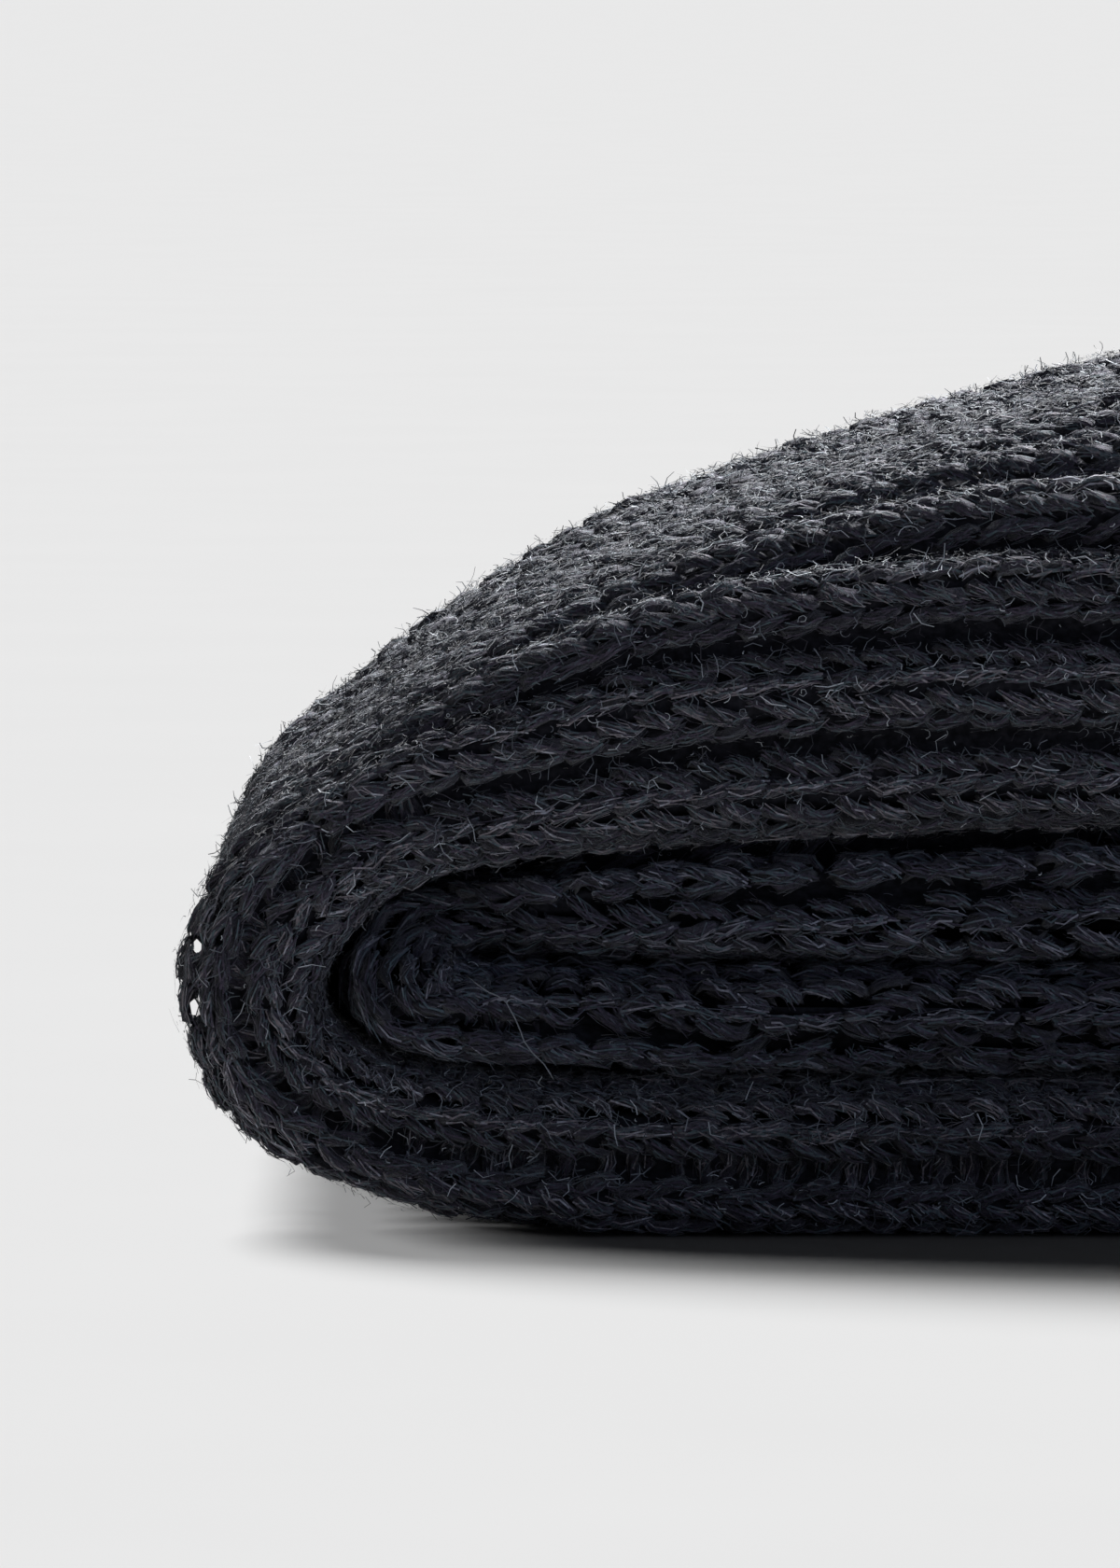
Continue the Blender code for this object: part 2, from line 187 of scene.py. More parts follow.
OUTER_TABLE = (
    # cuff
    (192.6, 17.6, 0, 10.2, 38.2, 38, 3.4, 2.2, 5.5, 0, 1),
    (191.4, 17.2, 0, 11.1, 38.7, 38.5, 3.4, 2.4, 6, 0, 1),
    (181, 17.4, 0, 13.4, 39, 38.7, 3.5, 2.6, 6.5, 0, 1),
    # leg
    (164, 17.6, 0, 17.4, 39.4, 39, 3.8, 2.8, 7.5, 0, 1),
    (144, 17.9, 0, 21.6, 39.8, 39.4, 4.1, 3, 8.5, 0, 1),
    (122, 18.2, 0, 24.9, 40, 39.8, 4.3, 3, 9, 0, 1),
    (100, 18.4, 0, 26.3, 40, 40, 4.4, 3, 9, 0, 1),
    (79, 18.5, 0, 25.6, 40, 40, 4.6, 3, 9, 0, 1),
    (60, 18.5, 0, 22.8, 39.8, 39.9, 4.8, 3, 9, 0, 1),
    (44, 18.3, 1, 19.1, 39.5, 39.6, 5.2, 3, 9, 0.02, 1),
    (32, 17.9, 2, 15.9, 39.3, 39.2, 6.2, 2.8, 8.5, 0.1, 1),
    (22.5, 17.4, 4, 12.8, 39, 38.8, 8, 2.4, 7.5, 0.1, 1),
    # fold
    (16.5, 16.8, 8, 10.1, 38.8, 38.5, 8, 2.1, 6, 0.04, 1),
    (12.8, 16.2, 16, 7.8, 38.6, 38.2, 8, 1.8, 5, 0.05, 1),
    (10.2, 15.2, 32, 6.5, 38.4, 38, 8, 1.5, 4, 0.1, 1),
    (8.7, 13.9, 52, 6.8, 38.2, 37.8, 8, 1.3, 3.4, 0.15, 1),
    (7.6, 12.5, 72, 7, 38, 37.7, 8, 1.2, 3, 0.2, 1),
    (7.1, 11.1, 90, 7.1, 38, 38, 7, 1.2, 3, 0.2, 1),
    (7.4, 9.8, 106, 7.1, 38, 38.8, 7.4, 1.4, 3, 0.2, 1),
    (8.7, 8.7, 128, 7.1, 38.2, 40, 8, 1.6, 3, 0.2, 1),
    (10.8, 7.8, 146, 6.9, 38.5, 42, 9, 1.8, 2.9, 0.15, 1),
    (14.6, 7.1, 166, 6.95, 38.8, 45, 10, 2, 2.8, 0.1, 1),
    (19, 6.8, 179, 6.8, 39, 48.5, 10, 2.2, 2.8, 0.1, 1),
    # foot, with the heel pouch at its far edge
    (28, 6.8, 180, 6.8, 39, 53, 10, 2.2, 2.8, 0.1, 1),
    (40, 6.8, 180, 6.8, 39, 55.5, 10, 2.2, 2.8, 0.1, 1),
    (54, 6.8, 180, 6.8, 39, 53, 10, 2.2, 2.8, 0.1, 1),
    (70, 6.8, 180, 6.8, 39, 45, 10, 2.2, 2.8, 0.1, 1),
    (86, 6.8, 180, 6.8, 39, 40, 10, 2.2, 2.8, 0.1, 1),
    (112, 6.8, 180, 6.8, 39, 39, 10, 2.2, 2.8, 0.1, 1),
    (140, 6.8, 180, 6.8, 38.8, 38.8, 10, 2.2, 2.8, 0.1, 1),
    # toe
    (163, 6.8, 180, 6.8, 38, 38, 7, 2.8, 2.8, 0.1, 1),
    (178, 6.7, 180, 6.7, 35, 35, 5.5, 2.4, 2.8, 0, 0.5),
    (189, 6.4, 180, 6.2, 29, 29, 4.2, 2, 2.6, 0, 0),
    (196.5, 5.9, 180, 5.3, 20.5, 20.5, 3.2, 1.6, 2.2, 0, 0),
    (200.8, 5.2, 180, 3.8, 11.5, 11.5, 2.6, 1, 1.6, 0, 0),
    (202.6, 4.6, 180, 2.3, 4.5, 4.5, 2.2, 0.5, 1, 0, 0),
)
OUTER_SECTIONS = [Section(*row) for row in OUTER_TABLE]

# %% The sections of the inner sock
# Its edge lobes have the height that edge gives. Where rise says None, its upper run is crowned under the
# outer sock.
Lobe = namedtuple("Lobe", "x z lean edge rise near far tuck reach wide rib")
SLIT_LEVEL = 11.95  # the height at which its two runs meet
RUN_GAP = 0.3
UPPER_Z, LOWER_Z = SLIT_LEVEL + RUN_GAP / 2, SLIT_LEVEL - RUN_GAP / 2

INNER_TABLE = (
    # cuff
    (196, UPPER_Z + 0.4, 0, 4.2, 7.2, 35.8, 35.6, 1, 1.6, 0.1, 1),
    (194.8, UPPER_Z, 0, 4.6, 8, 36.2, 36, 1.2, 1.8, 0.1, 1),
    (192.6, UPPER_Z, 0, 4.6, None, 36.2, 36, 1.2, 1.8, 0.1, 1),
    (191.4, UPPER_Z, 0, 4.6, None, 36.2, 36, 1.2, 1.8, 0.1, 1),
    (181, UPPER_Z, 0, 4.6, None, 36.4, 36.2, 1.2, 1.8, 0.1, 1),
    # leg
    (164, UPPER_Z, 0, 5, None, 36.6, 36.4, 1.2, 1.8, 0.1, 1),
    (122, UPPER_Z, 0, 5.7, None, 36.6, 36.6, 1.2, 1.8, 0.1, 1),
    (79, UPPER_Z, 0, 5.8, None, 36.6, 36.8, 1.2, 1.8, 0.1, 1),
    (60, UPPER_Z, 0, 5.7, None, 36.5, 36.8, 1.2, 1.8, 0.1, 1),
    (44, UPPER_Z, 0, 5.5, None, 36.4, 36.6, 1.2, 1.8, 0.1, 1),
    (32, UPPER_Z, 0, 5.1, None, 36.2, 36.3, 1.2, 1.8, 0.1, 1),
    (22.5, UPPER_Z, 0, 4.7, None, 36, 36, 2.4, 2.8, 0.1, 1),
    # fold, whose near corner is drawn in above the slit
    (17.5, UPPER_Z, 6, 4, 4, 34.8, 35.6, 3.2, 3, 0.1, 1),
    (14.4, UPPER_Z, 20, 3.6, 3.6, 32.6, 35.2, 2.6, 2.8, 0.1, 1),
    (13.1, 12.1, 46, 3.8, 3.8, 31.6, 35, 1.2, 2, 0.1, 1),
    (12.8, 12, 70, 4.3, 4.3, 34.2, 35, 1, 1.8, 0.1, 1),
    (12.8, 11.95, 94, 4.8, 4.8, 36.8, 35.4, 1, 1.8, 0.1, 1),
    (12.9, 11.9, 114, 5.1, 5.1, 37.4, 35.8, 1, 1.8, 0.1, 1),
    (13.1, 11.87, 136, 4.8, 4.8, 37.6, 36.6, 1.2, 1.8, 0.1, 1),
    (14.2, 11.85, 158, 4.5, 4.5, 37.6, 38, 2.6, 2.4, 0.1, 1),
    (18, LOWER_Z, 174, 4.6, 4.6, 37.6, 41, 3.2, 2.8, 0.1, 1),
    # foot, with the heel pouch at its far edge
    (28, LOWER_Z, 180, 4.65, 4.65, 37.6, 47, 1.2, 1.8, 0.1, 1),
    (40, LOWER_Z, 180, 4.65, 4.65, 37.6, 49.5, 1.2, 1.8, 0.1, 1),
    (54, LOWER_Z, 180, 4.65, 4.65, 37.6, 47, 1.2, 1.8, 0.1, 1),
    (72, LOWER_Z, 180, 4.65, 4.65, 37.6, 40, 1.2, 1.8, 0.1, 1),
    (90, LOWER_Z, 180, 4.65, 4.65, 37.4, 37, 1.2, 1.8, 0.1, 1),
    (140, LOWER_Z, 180, 4.65, 4.65, 37, 36.8, 1.2, 1.8, 0.1, 1),
    # toe
    (166, LOWER_Z, 180, 4.4, 4.4, 35.2, 35.2, 1.2, 1.8, 0, 0.6),
    (180, LOWER_Z, 180, 4.3, 4.3, 30.5, 30.5, 1.2, 1.8, 0, 0),
    (189.5, 11.3, 180, 3.8, 3.8, 21, 21, 1, 1.6, 0, 0),
    (194.6, 10.6, 180, 2.8, 2.8, 10.5, 10.5, 0.8, 1.2, 0, 0),
    (196.2, 10.1, 180, 1.7, 1.7, 4, 4, 0.4, 0.8, 0, 0),
)
INNER_SECTIONS = [Lobe(*row) for row in INNER_TABLE]

# %% One section as a curve
THICK = 6.8  # both walls of the flattened tube
CLEAR = 0.35  # between one layer and the next
FLAT_FROM, FLAT_PRESS = 178, 1.08  # sections that lean this much are pressed flat by the table
LOBE_POWER, CROWN_POWER = 12, 3.2
CURVE_POINTS = 120


def quarter(width, height, power):
    """A quarter of a superellipse, from its side (width, 0) to its top (0, height)."""
    part = np.linspace(0, 1, CURVE_POINTS)
    angle = (part**3 * (10 - 15 * part + 6 * part**2)) * math.pi / 2
    across = width * np.clip(np.cos(angle), 0, 1) ** (2 / power)
    return across, height * np.sin(angle) ** (2 / power)


def tucked(across, out, section):
    """The same half with its edge drawn in at the bottom."""
    low = np.clip(1 - out / section.reach, 0, 1)
    return across - section.tuck * low**2


def outer_half(section, width, side):
    """Half of the outer sock's section: (across, out) of the face out of the fold, then of the other."""
    thick = min(section.rise, THICK)
    press = FLAT_PRESS if section.lean > FLAT_FROM and section.rib > 0.1 else 1
    across, out = quarter(width, section.rise * press, section.power)
    out = np.minimum(out, section.rise)
    inside, inside_out = quarter(width - min(thick, width / 2), section.rise - thick, section.power)
    return tucked(across, out, section), out, inside, inside_out


# %% The inner sock, under the outer one


def room_under_outer(x):
    """What the outer sock leaves at x: its edge's height, its inner face's height and half-widths."""
    upper = sorted((s for s in OUTER_SECTIONS if s.lean < 10), key=lambda s: s.x)
    places = [s.x for s in upper]
    lip = np.interp(x, places, [s.z for s in upper])
    top = np.interp(x, places, [s.z + s.rise - THICK for s in upper])
    widths = [np.interp(x, places, [getattr(s, side) - THICK for s in upper]) for side in ("near", "far")]
    return lip, top, widths


def crowned(lobe):
    """The same row with its crown's height worked out, where the table leaves it to the outer sock."""
    if lobe.rise is not None:
        return lobe
    return lobe._replace(rise=room_under_outer(min(lobe.x, OUTER_SECTIONS[0].x))[1] - CLEAR - lobe.z)


def inner_half(section, width, side):
    """Half of the inner sock's section: an edge lobe, and above it in the upper run a crown."""
    across, out = quarter(width, section.edge, LOBE_POWER)
    if section.rise > section.edge + 0.3:
        lip, _, widths = room_under_outer(min(section.x, OUTER_SECTIONS[0].x))
        foot = min(max(lip - section.z, section.edge), section.rise - 0.2)
        crown, up = quarter(widths[side] - CLEAR, section.rise - foot, CROWN_POWER)
        lobe = across > crown[0] + 0.2
        across = np.concatenate([across[lobe], crown])
        out = np.concatenate([out[lobe], foot + up])
    return tucked(across, out, section), out, across * (1 - section.edge / width), out * 0


# %% [markdown]
# ## A grid on the cloth
#
# Knitting has its own two directions: courses across the tube and columns of stitches along it. The
# grid below has a line for every half course and a fixed number of lines for every rib, so a stitch can
# be placed by counting courses and ribs, as a knitter would, wherever the tube bends.

# %% Gauge of the knitting
COURSE = 1.64  # mm from one row of stitches to the next
GRID_STEP = COURSE / 2
RIBS_OUT, RIBS_IN = 22, 18  # ribs across the face out of the fold, and across the face into it
PER_RIB = 8  # grid lines for each rib
RING = (RIBS_OUT + RIBS_IN) * PER_RIB
RIB_DEPTH = 1.5  # how deep the purl valley lies under the two knit columns
RIB_ROUND = 3.4  # how flat the crest is before it falls into the valley
RIB_WRAP = 0.6  # how far the edge rib wraps round the tube's edge
DEEP_VALLEY = 1.5  # the near edge's first valley is pulled open by the bend
RIB_SLOPE = 0.3  # a valley that isn't pulled open is at most this share of its rib's width deep
CROWN_DEEP, CROWN_ROUND = 1.6, 2.0  # over the crown the ribs are pulled apart: deeper and rounder
CROWN_PULL = (60, 110)  # mm from the tip: all of the pull up to here, none from there
CROWN_FROM, CROWN_OVER = 1.7, 0.8  # the crown starts at this rib from the near edge, over so many
FOLD_SHALLOW = (0.6, 0.15)  # how much shallower the valleys are at the turn: by the edge, on the crown
BEHIND_FROM = 2.3  # from this rib on, the tip lies back a little, so light gets past it
TIP_RECESS = 1.2  # mm by which it lies back
HOLLOW_GAP = 0.6  # mm between a tube's two walls
HOLLOW_EDGE = 6.0  # mm from the tube's edge to where its hollow starts
NORMAL_REACH = 0.8  # mm to each side over which the section's direction is measured

# %% The table read along a tube


def between_rows(values, places, wanted):
    """Reads a column of the table along a smooth curve that doesn't overshoot."""
    values, step = np.asarray(values, float), np.diff(places)
    slope = np.diff(values) / step
    tangent = np.r_[slope[0], np.zeros(len(values) - 2), slope[-1]]
    product, total = slope[:-1] * slope[1:], slope[:-1] + slope[1:]
    steady = product > 0
    tangent[1:-1][steady] = 2 * product[steady] / total[steady]
    k = np.clip(np.searchsorted(places, wanted, side="right") - 1, 0, len(step) - 1)
    t = (wanted - places[k]) / step[k]
    start, end = values[k] * (1 + 2 * t) * (1 - t) ** 2, values[k + 1] * t * t * (3 - 2 * t)
    return start + end + step[k] * (tangent[k] * t * (1 - t) ** 2 - tangent[k + 1] * t * t * (1 - t))


def lengths_along(points):
    return np.r_[0, np.cumsum(np.linalg.norm(np.diff(points, axis=0), axis=1))]


def at_lengths(points, along, wanted):
    return np.column_stack([np.interp(wanted, along, points[:, k]) for k in range(2)])


def rows_by_course(sections):
    """The table read at even steps along the tube, half a course apart."""
    lean = np.radians([s.lean for s in sections])
    height = np.minimum([s.rise for s in sections], THICK) * 0.6
    x, z = [s.x for s in sections] - np.sin(lean) * height, [s.z for s in sections] + np.cos(lean) * height
    places = lengths_along(np.column_stack([x, z]))
    wanted = np.linspace(0, places[-1], int(places[-1] / GRID_STEP) + 1)
    fields = sections[0]._fields
    columns = [between_rows([getattr(s, name) for s in sections], places, wanted) for name in fields]
    return [type(sections[0])(*values) for values in zip(*columns)]


# %% The ribs round a section
PLACE_OUT, PLACE_IN = (np.arange(ribs * PER_RIB) / PER_RIB for ribs in (RIBS_OUT, RIBS_IN))  # in ribs
fall = np.abs(2 * (np.r_[PLACE_OUT, PLACE_IN] % 1) - 1)  # 0 on a rib's middle, 1 in a valley
knitted = fall**RIB_ROUND
by_edge = 2 * PER_RIB
knitted[:by_edge] *= 1 + (DEEP_VALLEY - 1) * np.clip(1 - np.abs(PLACE_OUT[:by_edge] - 1) * 2, 0, 1)
crown = np.r_[np.clip((PLACE_OUT - CROWN_FROM) / CROWN_OVER, 0, 1), 0 * PLACE_IN]
pulled = crown * (CROWN_DEEP * fall**CROWN_ROUND - knitted)
shallow = FOLD_SHALLOW[0] + (FOLD_SHALLOW[1] - FOLD_SHALLOW[0]) * crown
behind = np.clip((PLACE_OUT - BEHIND_FROM) / CROWN_OVER, 0, 1)
behind = behind * behind * (3 - 2 * behind)


def stood_up(ring, section):
    """A section's points (across, out) in the sock's own axes."""
    lean = math.radians(section.lean)
    across, out = ring[:, 0], ring[:, 1]
    return np.column_stack([section.x - math.sin(lean) * out, across, section.z + math.cos(lean) * out])


def skin_ring(section, out, inside, recess):
    """One row of the sock's ribbed skin, round its face out of the fold and back along the other."""
    loop = np.concatenate([out, inside[::-1], out[:1]])
    along = lengths_along(loop)
    total, face = along[-1], lengths_along(out)[-1]
    share = PLACE_OUT / RIBS_OUT
    share = share + section.wide * np.sin(2 * math.pi * share) / (2 * math.pi)
    wrap = min(RIB_WRAP, face / RIBS_OUT / 4)
    outward = -wrap + share * (face + 2 * wrap)
    inward = face + wrap + PLACE_IN / RIBS_IN * (total - face - 2 * wrap)
    wanted = np.r_[outward, inward]
    run = at_lengths(loop, along, (wanted + NORMAL_REACH) % total)
    run -= at_lengths(loop, along, (wanted - NORMAL_REACH) % total)
    run /= np.maximum(np.linalg.norm(run, axis=1), 1e-6)[:, None]
    turned = max(math.sin(math.radians(section.lean)), 0)
    depth = knitted + pulled * np.interp(section.x, CROWN_PULL, (1, 0))
    depth = depth * min(RIB_DEPTH, RIB_SLOPE * face / RIBS_OUT) * section.rib * (1 - shallow * turned)
    ring = at_lengths(loop, along, wanted % total) + np.column_stack([run[:, 1], -run[:, 0]]) * depth[:, None]
    ring[: len(PLACE_OUT), 1] -= recess * turned**6 * behind
    return stood_up(ring, section)


def hollow_ring(section, out, inside):
    """The same row on the hollow between the tube's two walls."""
    middle, wall = (out + inside) / 2, out - inside
    wall /= np.maximum(np.linalg.norm(wall, axis=1), 1e-6)[:, None]
    reach = lengths_along(out)
    face = reach[-1]
    edge = min(HOLLOW_EDGE / face, 0.3)
    there = edge + (1 - 2 * edge) * np.linspace(0, 1, len(PLACE_OUT))
    back_again = 1 - edge - (1 - 2 * edge) * np.linspace(0, 1, len(PLACE_IN))
    wanted = np.r_[there, back_again] * face
    sides = np.r_[np.ones(len(PLACE_OUT)), -np.ones(len(PLACE_IN))]
    half_gap = (sides * HOLLOW_GAP / 2)[:, None]
    return stood_up(at_lengths(middle, reach, wanted) + at_lengths(wall, reach, wanted) * half_gap, section)


# %% The whole grid of a sock
Tube = namedtuple("Tube", "rows skin normals hollow")


def tube_grid(sections, half, recess=0.0):
    """The sock as grids: its ribbed skin, the skin's normals, and the hollow between its two walls."""
    rows = rows_by_course(sections)
    skin, hollow = [], []
    for section in rows:
        near, far = half(section, section.near, 0), half(section, section.far, 1)
        out, inside = (
            np.column_stack([np.r_[-near[k], far[k][::-1][1:]], np.r_[near[k + 1], far[k + 1][::-1][1:]]])
            for k in (0, 2)
        )
        skin.append(skin_ring(section, out, inside, recess))
        hollow.append(hollow_ring(section, out, inside))
    skin = np.array(skin)
    round_it = np.roll(skin, -1, axis=1) - np.roll(skin, 1, axis=1)
    normals = np.cross(round_it, np.gradient(skin, axis=0))
    normals /= np.maximum(np.linalg.norm(normals, axis=2), 1e-9)[..., None]
    return Tube(rows, skin, normals, np.array(hollow))


# %% The grids of both socks
outer = tube_grid(OUTER_SECTIONS, outer_half, recess=TIP_RECESS)
inner = tube_grid([crowned(s) for s in INNER_SECTIONS], inner_half)
for name, tube in (("outer", outer), ("inner", inner)):
    middle = tube.skin.mean(axis=1, keepdims=True)
    outward = float((tube.normals * (tube.skin - middle)).sum(axis=2).mean())
    print(name, "grid", tube.skin.shape, "normals outward by", round(outward, 1), "mm")

# %% [markdown]
# ## Two pinholes
#
# Beside the tip the photograph shows two specks of light between stitches of the near ribs. Knitting
# does that where it is bent hard: the loops are pulled off each other. Here every point close to the
# line from the camera through a pinhole is pushed aside, and the few faces that still span it are left
# out.

# %% Where the pinholes are
EYE = AIM + back * CAMERA_AWAY  # where the camera is, in the sock's mm
PINHOLE_Y = -38.0  # the plane in which they are measured
PINHOLES = ((1.62, 13.2), (1.45, 10.41))  # x, z on the near ribs
PINHOLE_HALF = np.array([0.18, 0.28])
PUSH_REACH = 3  # how far the push is felt, in half-widths


def from_pinholes(spots, margin):
    """How far spots are from each pinhole as the camera sees them, in half-widths."""
    share = (PINHOLE_Y - spots[:, 1]) / (EYE[1] - spots[:, 1])
    flat = (spots + (EYE - spots) * share[:, None])[:, ::2]
    away = np.array([(flat - hole) / (PINHOLE_HALF + margin) for hole in PINHOLES])
    away[:, spots[:, 1] > 0] = 99  # the far half of the socks is out of it
    return away


def pushed_apart(spots):
    """Yarn pushed aside round the pinholes, by less the farther off it is."""
    spots = spots.copy()
    for away in from_pinholes(spots, 0):
        far = np.maximum(np.linalg.norm(away, axis=1, keepdims=True), 1e-3)
        spots[:, ::2] += np.where(far < PUSH_REACH, away / far * (1 - far / PUSH_REACH), 0) * PINHOLE_HALF
    return spots


PINHOLE_OPEN = 0.92  # the share of a pinhole that no face may cover


def spans_pinhole(corners, margin):
    """Which faces (faces, corners, 3) cover a pinhole, tried at several places on each."""
    middle = corners.mean(axis=1, keepdims=True)
    edges = (corners + np.roll(corners, 1, axis=1)) / 2
    tried = np.concatenate([middle, (corners + middle) / 2, edges, (edges + middle) / 2], axis=1)
    away = np.linalg.norm(from_pinholes(tried.reshape(-1, 3), margin), axis=2).min(axis=0)
    return (away.reshape(tried.shape[:2]) < PINHOLE_OPEN).any(axis=1)


# %% [markdown]
# ## Making meshes quickly
#
# There are about thirteen thousand stitches, so nothing is made one at a time. Points and faces are
# worked out as arrays and handed to Blender in one go.

# %% From arrays to a mesh


def mesh_object(name, points, faces, material, attributes=None, margin=0.0):
    """A smooth mesh in the frame, from points in the sock's mm and groups of faces, open at the pinholes."""
    mesh = bpy.data.meshes.new(name)
    points = pushed_apart(points)
    faces = [group[~spans_pinhole(points[group], margin)] for group in faces]
    corners = np.concatenate([group.ravel() for group in faces])
    sizes = np.concatenate([np.full(len(group), group.shape[1]) for group in faces])
    mesh.vertices.add(len(points))
    mesh.vertices.foreach_set("co", in_frame(points).astype(np.float32).ravel())
    mesh.loops.add(len(corners))
    mesh.loops.foreach_set("vertex_index", corners.astype(np.int32))
    mesh.polygons.add(len(sizes))
    mesh.polygons.foreach_set("loop_start", np.r_[0, np.cumsum(sizes)[:-1]].astype(np.int32))
    mesh.update(calc_edges=True)
    mesh.shade_smooth()
    for label, values in (attributes or {}).items():
        kind, slot = ("FLOAT_VECTOR", "vector") if values.ndim == 2 else ("FLOAT", "value")
        mesh.attributes.new(label, kind, "POINT").data.foreach_set(slot, values.astype(np.float32).ravel())
    mesh.materials.append(material)
    return placed(name, mesh)


def unit(vectors):
    return vectors / np.maximum(np.linalg.norm(vectors, axis=-1, keepdims=True), 1e-9)


# %% Strands: closed, tapered, and many at once
TWIST = 1.4  # radians of turn for each mm: wool yarn is spun softly


def strands(paths, ups, wide, high, sides, seed, uneven=0.12, pale=1.0):
    """Closed strands along paths (strands, points, 3): their points, faces and attributes."""
    count, steps = paths.shape[:2]
    along = unit(np.gradient(paths, axis=1))
    side = unit(np.cross(along, ups))
    up = np.cross(side, along)
    angle = np.arange(sides) / sides * 2 * math.pi
    reach = np.broadcast_to(wide, (count, steps))[:, 1:-1, None, None]
    height = np.broadcast_to(high, (count, steps))[:, 1:-1, None, None]
    lumps = np.random.default_rng(seed + 2).normal(1, uneven, (count, steps - 2, sides, 1))
    rings = paths[:, 1:-1, None] + side[:, 1:-1, None] * np.cos(angle)[:, None] * reach * lumps
    rings = rings + up[:, 1:-1, None] * np.sin(angle)[:, None] * height * lumps
    points = np.concatenate([paths[:, :1], rings.reshape(count, -1, 3), paths[:, -1:]], axis=1)
    # the place on the yarn, where the twist of its fibres is straight
    spun = np.random.default_rng(seed).uniform(0, 100, (count, 1, 1))
    steps_long = np.linalg.norm(np.diff(paths, axis=1, prepend=paths[:, :1]), axis=2)
    length = np.cumsum(steps_long, axis=1)[:, 1:-1, None]
    turned, round_it = angle + TWIST * length, reach[..., 0]
    place = [length + spun + 0 * turned, np.cos(turned) * round_it, np.sin(turned) * round_it]
    place = np.stack(place, axis=-1).reshape(count, -1, 3)
    place = np.concatenate([place[:, :1] * (1, 0, 0), place, place[:, -1:] * (1, 0, 0)], axis=1)
    # faces of one strand, then of all
    j = np.arange(sides)
    after = (j + 1) % sides
    starts = 1 + np.arange(steps - 3)[:, None] * sides
    quads = [starts + j, starts + sides + j, starts + sides + after, starts + after]
    quads = np.stack(quads, axis=-1).reshape(-1, 4)
    last = 1 + (steps - 3) * sides
    caps = ([0 * j, 1 + j, 1 + after], [last + after, last + j, 0 * j + last + sides])
    caps = np.concatenate([np.stack(cap, axis=1) for cap in caps])
    offset = (np.arange(count) * (2 + (steps - 2) * sides))[:, None, None]
    faces = [(quads + offset).reshape(-1, 4), (caps + offset).reshape(-1, 3)]
    heather = np.broadcast_to(np.random.default_rng(seed + 1).uniform(0, pale, (count, 1)), points.shape[:2])
    return points.reshape(-1, 3), faces, {"yarn": place.reshape(-1, 3), "heather": heather.ravel()}


# %% Ribbons, and sets of strands as one


def ribbons(paths, ups, wide, seed):
    """Hairs as fine ribbons along paths (hairs, points, 3): their points, faces and attributes."""
    count, steps = paths.shape[:2]
    side = unit(np.cross(unit(np.gradient(paths, axis=1)), ups))
    side = side * np.broadcast_to(wide, (count, steps))[..., None]
    points = np.stack([paths - side, paths + side], axis=2).reshape(-1, 3)
    k = np.arange(steps - 1)[:, None] * 2 + np.array([0, 1, 3, 2])
    faces = (k + (np.arange(count) * steps * 2)[:, None, None]).reshape(-1, 4)
    heather = np.random.default_rng(seed).uniform(0, 1, (count, 1))
    return points, [faces], {"heather": np.broadcast_to(heather, (count, steps * 2)).ravel()}


def joined(parts):
    """Several sets of strands as one."""
    starts = np.cumsum([0] + [len(part[0]) for part in parts])
    faces = [group + start for part, start in zip(parts, starts) for group in part[1]]
    labels = {key: np.concatenate([part[2][key] for part in parts]) for key in parts[0][2]}
    return np.concatenate([part[0] for part in parts]), faces, labels


FLOOR_CLEAR = 0.03  # mm; nothing goes through the table


def above_floor(points):
    points[:, 2] = np.maximum(points[:, 2], FLOOR_CLEAR)
    return points


# %% [markdown]
# ## The wool
#
# Charcoal wool isn't one colour. Black and grey fleece are carded together before spinning, so every
# strand has its own streaks, which follow the twist. Wool scatters light inside its scales, so it has
# no hard highlight: it's very rough, and a soft sheen brightens it where it is seen at a low angle. The
# streaks drive a fine bump too, as loose fibres would.

# %% Spun wool
WOOL_IOR = 1.55
STREAKS = (1.6, 9.0, 9.0)  # streaks for each mm: long along the yarn, fine across it
STREAK_SHARE, OWN_SHARE = 0.72, 0.42  # of the streaks, and of each strand's own shade, in its colour


def relief(material, shader, height, distance, strength):
    """A fine bump from a height."""
    inputs = {"Height": height, "Distance": distance, "Strength": strength}
    bump = add_node(material, "ShaderNodeBump", inputs)
    material.node_tree.links.new(bump.outputs["Normal"], shader.inputs["Normal"])


def wool_yarn(name, stops, sheen):
    """Spun wool: streaks along the twist, and strands that differ from each other."""
    settings = {
        "Roughness": 0.88,
        "IOR": WOOL_IOR,
        "Specular IOR Level": 0.25,
        "Sheen Weight": sheen,
        "Sheen Roughness": 0.45,
        "Sheen Tint": linear("#c9ced6"),
    }
    material, shader, ramp = finished(name, settings, stops)
    place = add_node(material, "ShaderNodeAttribute", attribute_name="yarn")
    stretched = add_node(material, "ShaderNodeMapping", {"Vector": place.outputs["Vector"], "Scale": STREAKS})
    noise = {"Vector": stretched.outputs["Vector"], "Scale": 1.0, "Detail": 4.0, "Roughness": 0.65}
    streaks = add_node(material, "ShaderNodeTexNoise", noise).outputs["Fac"]
    own = add_node(material, "ShaderNodeAttribute", attribute_name="heather").outputs["Fac"]
    share = add_node(material, "ShaderNodeMath", {0: own, 1: OWN_SHARE}, operation="MULTIPLY")
    weights = {0: streaks, 1: STREAK_SHARE, 2: share.outputs[0]}
    mixed = add_node(material, "ShaderNodeMath", weights, operation="MULTIPLY_ADD")
    material.node_tree.links.new(mixed.outputs[0], ramp.inputs["Fac"])
    relief(material, shader, streaks, 0.16 * MM, 1.0)
    return material


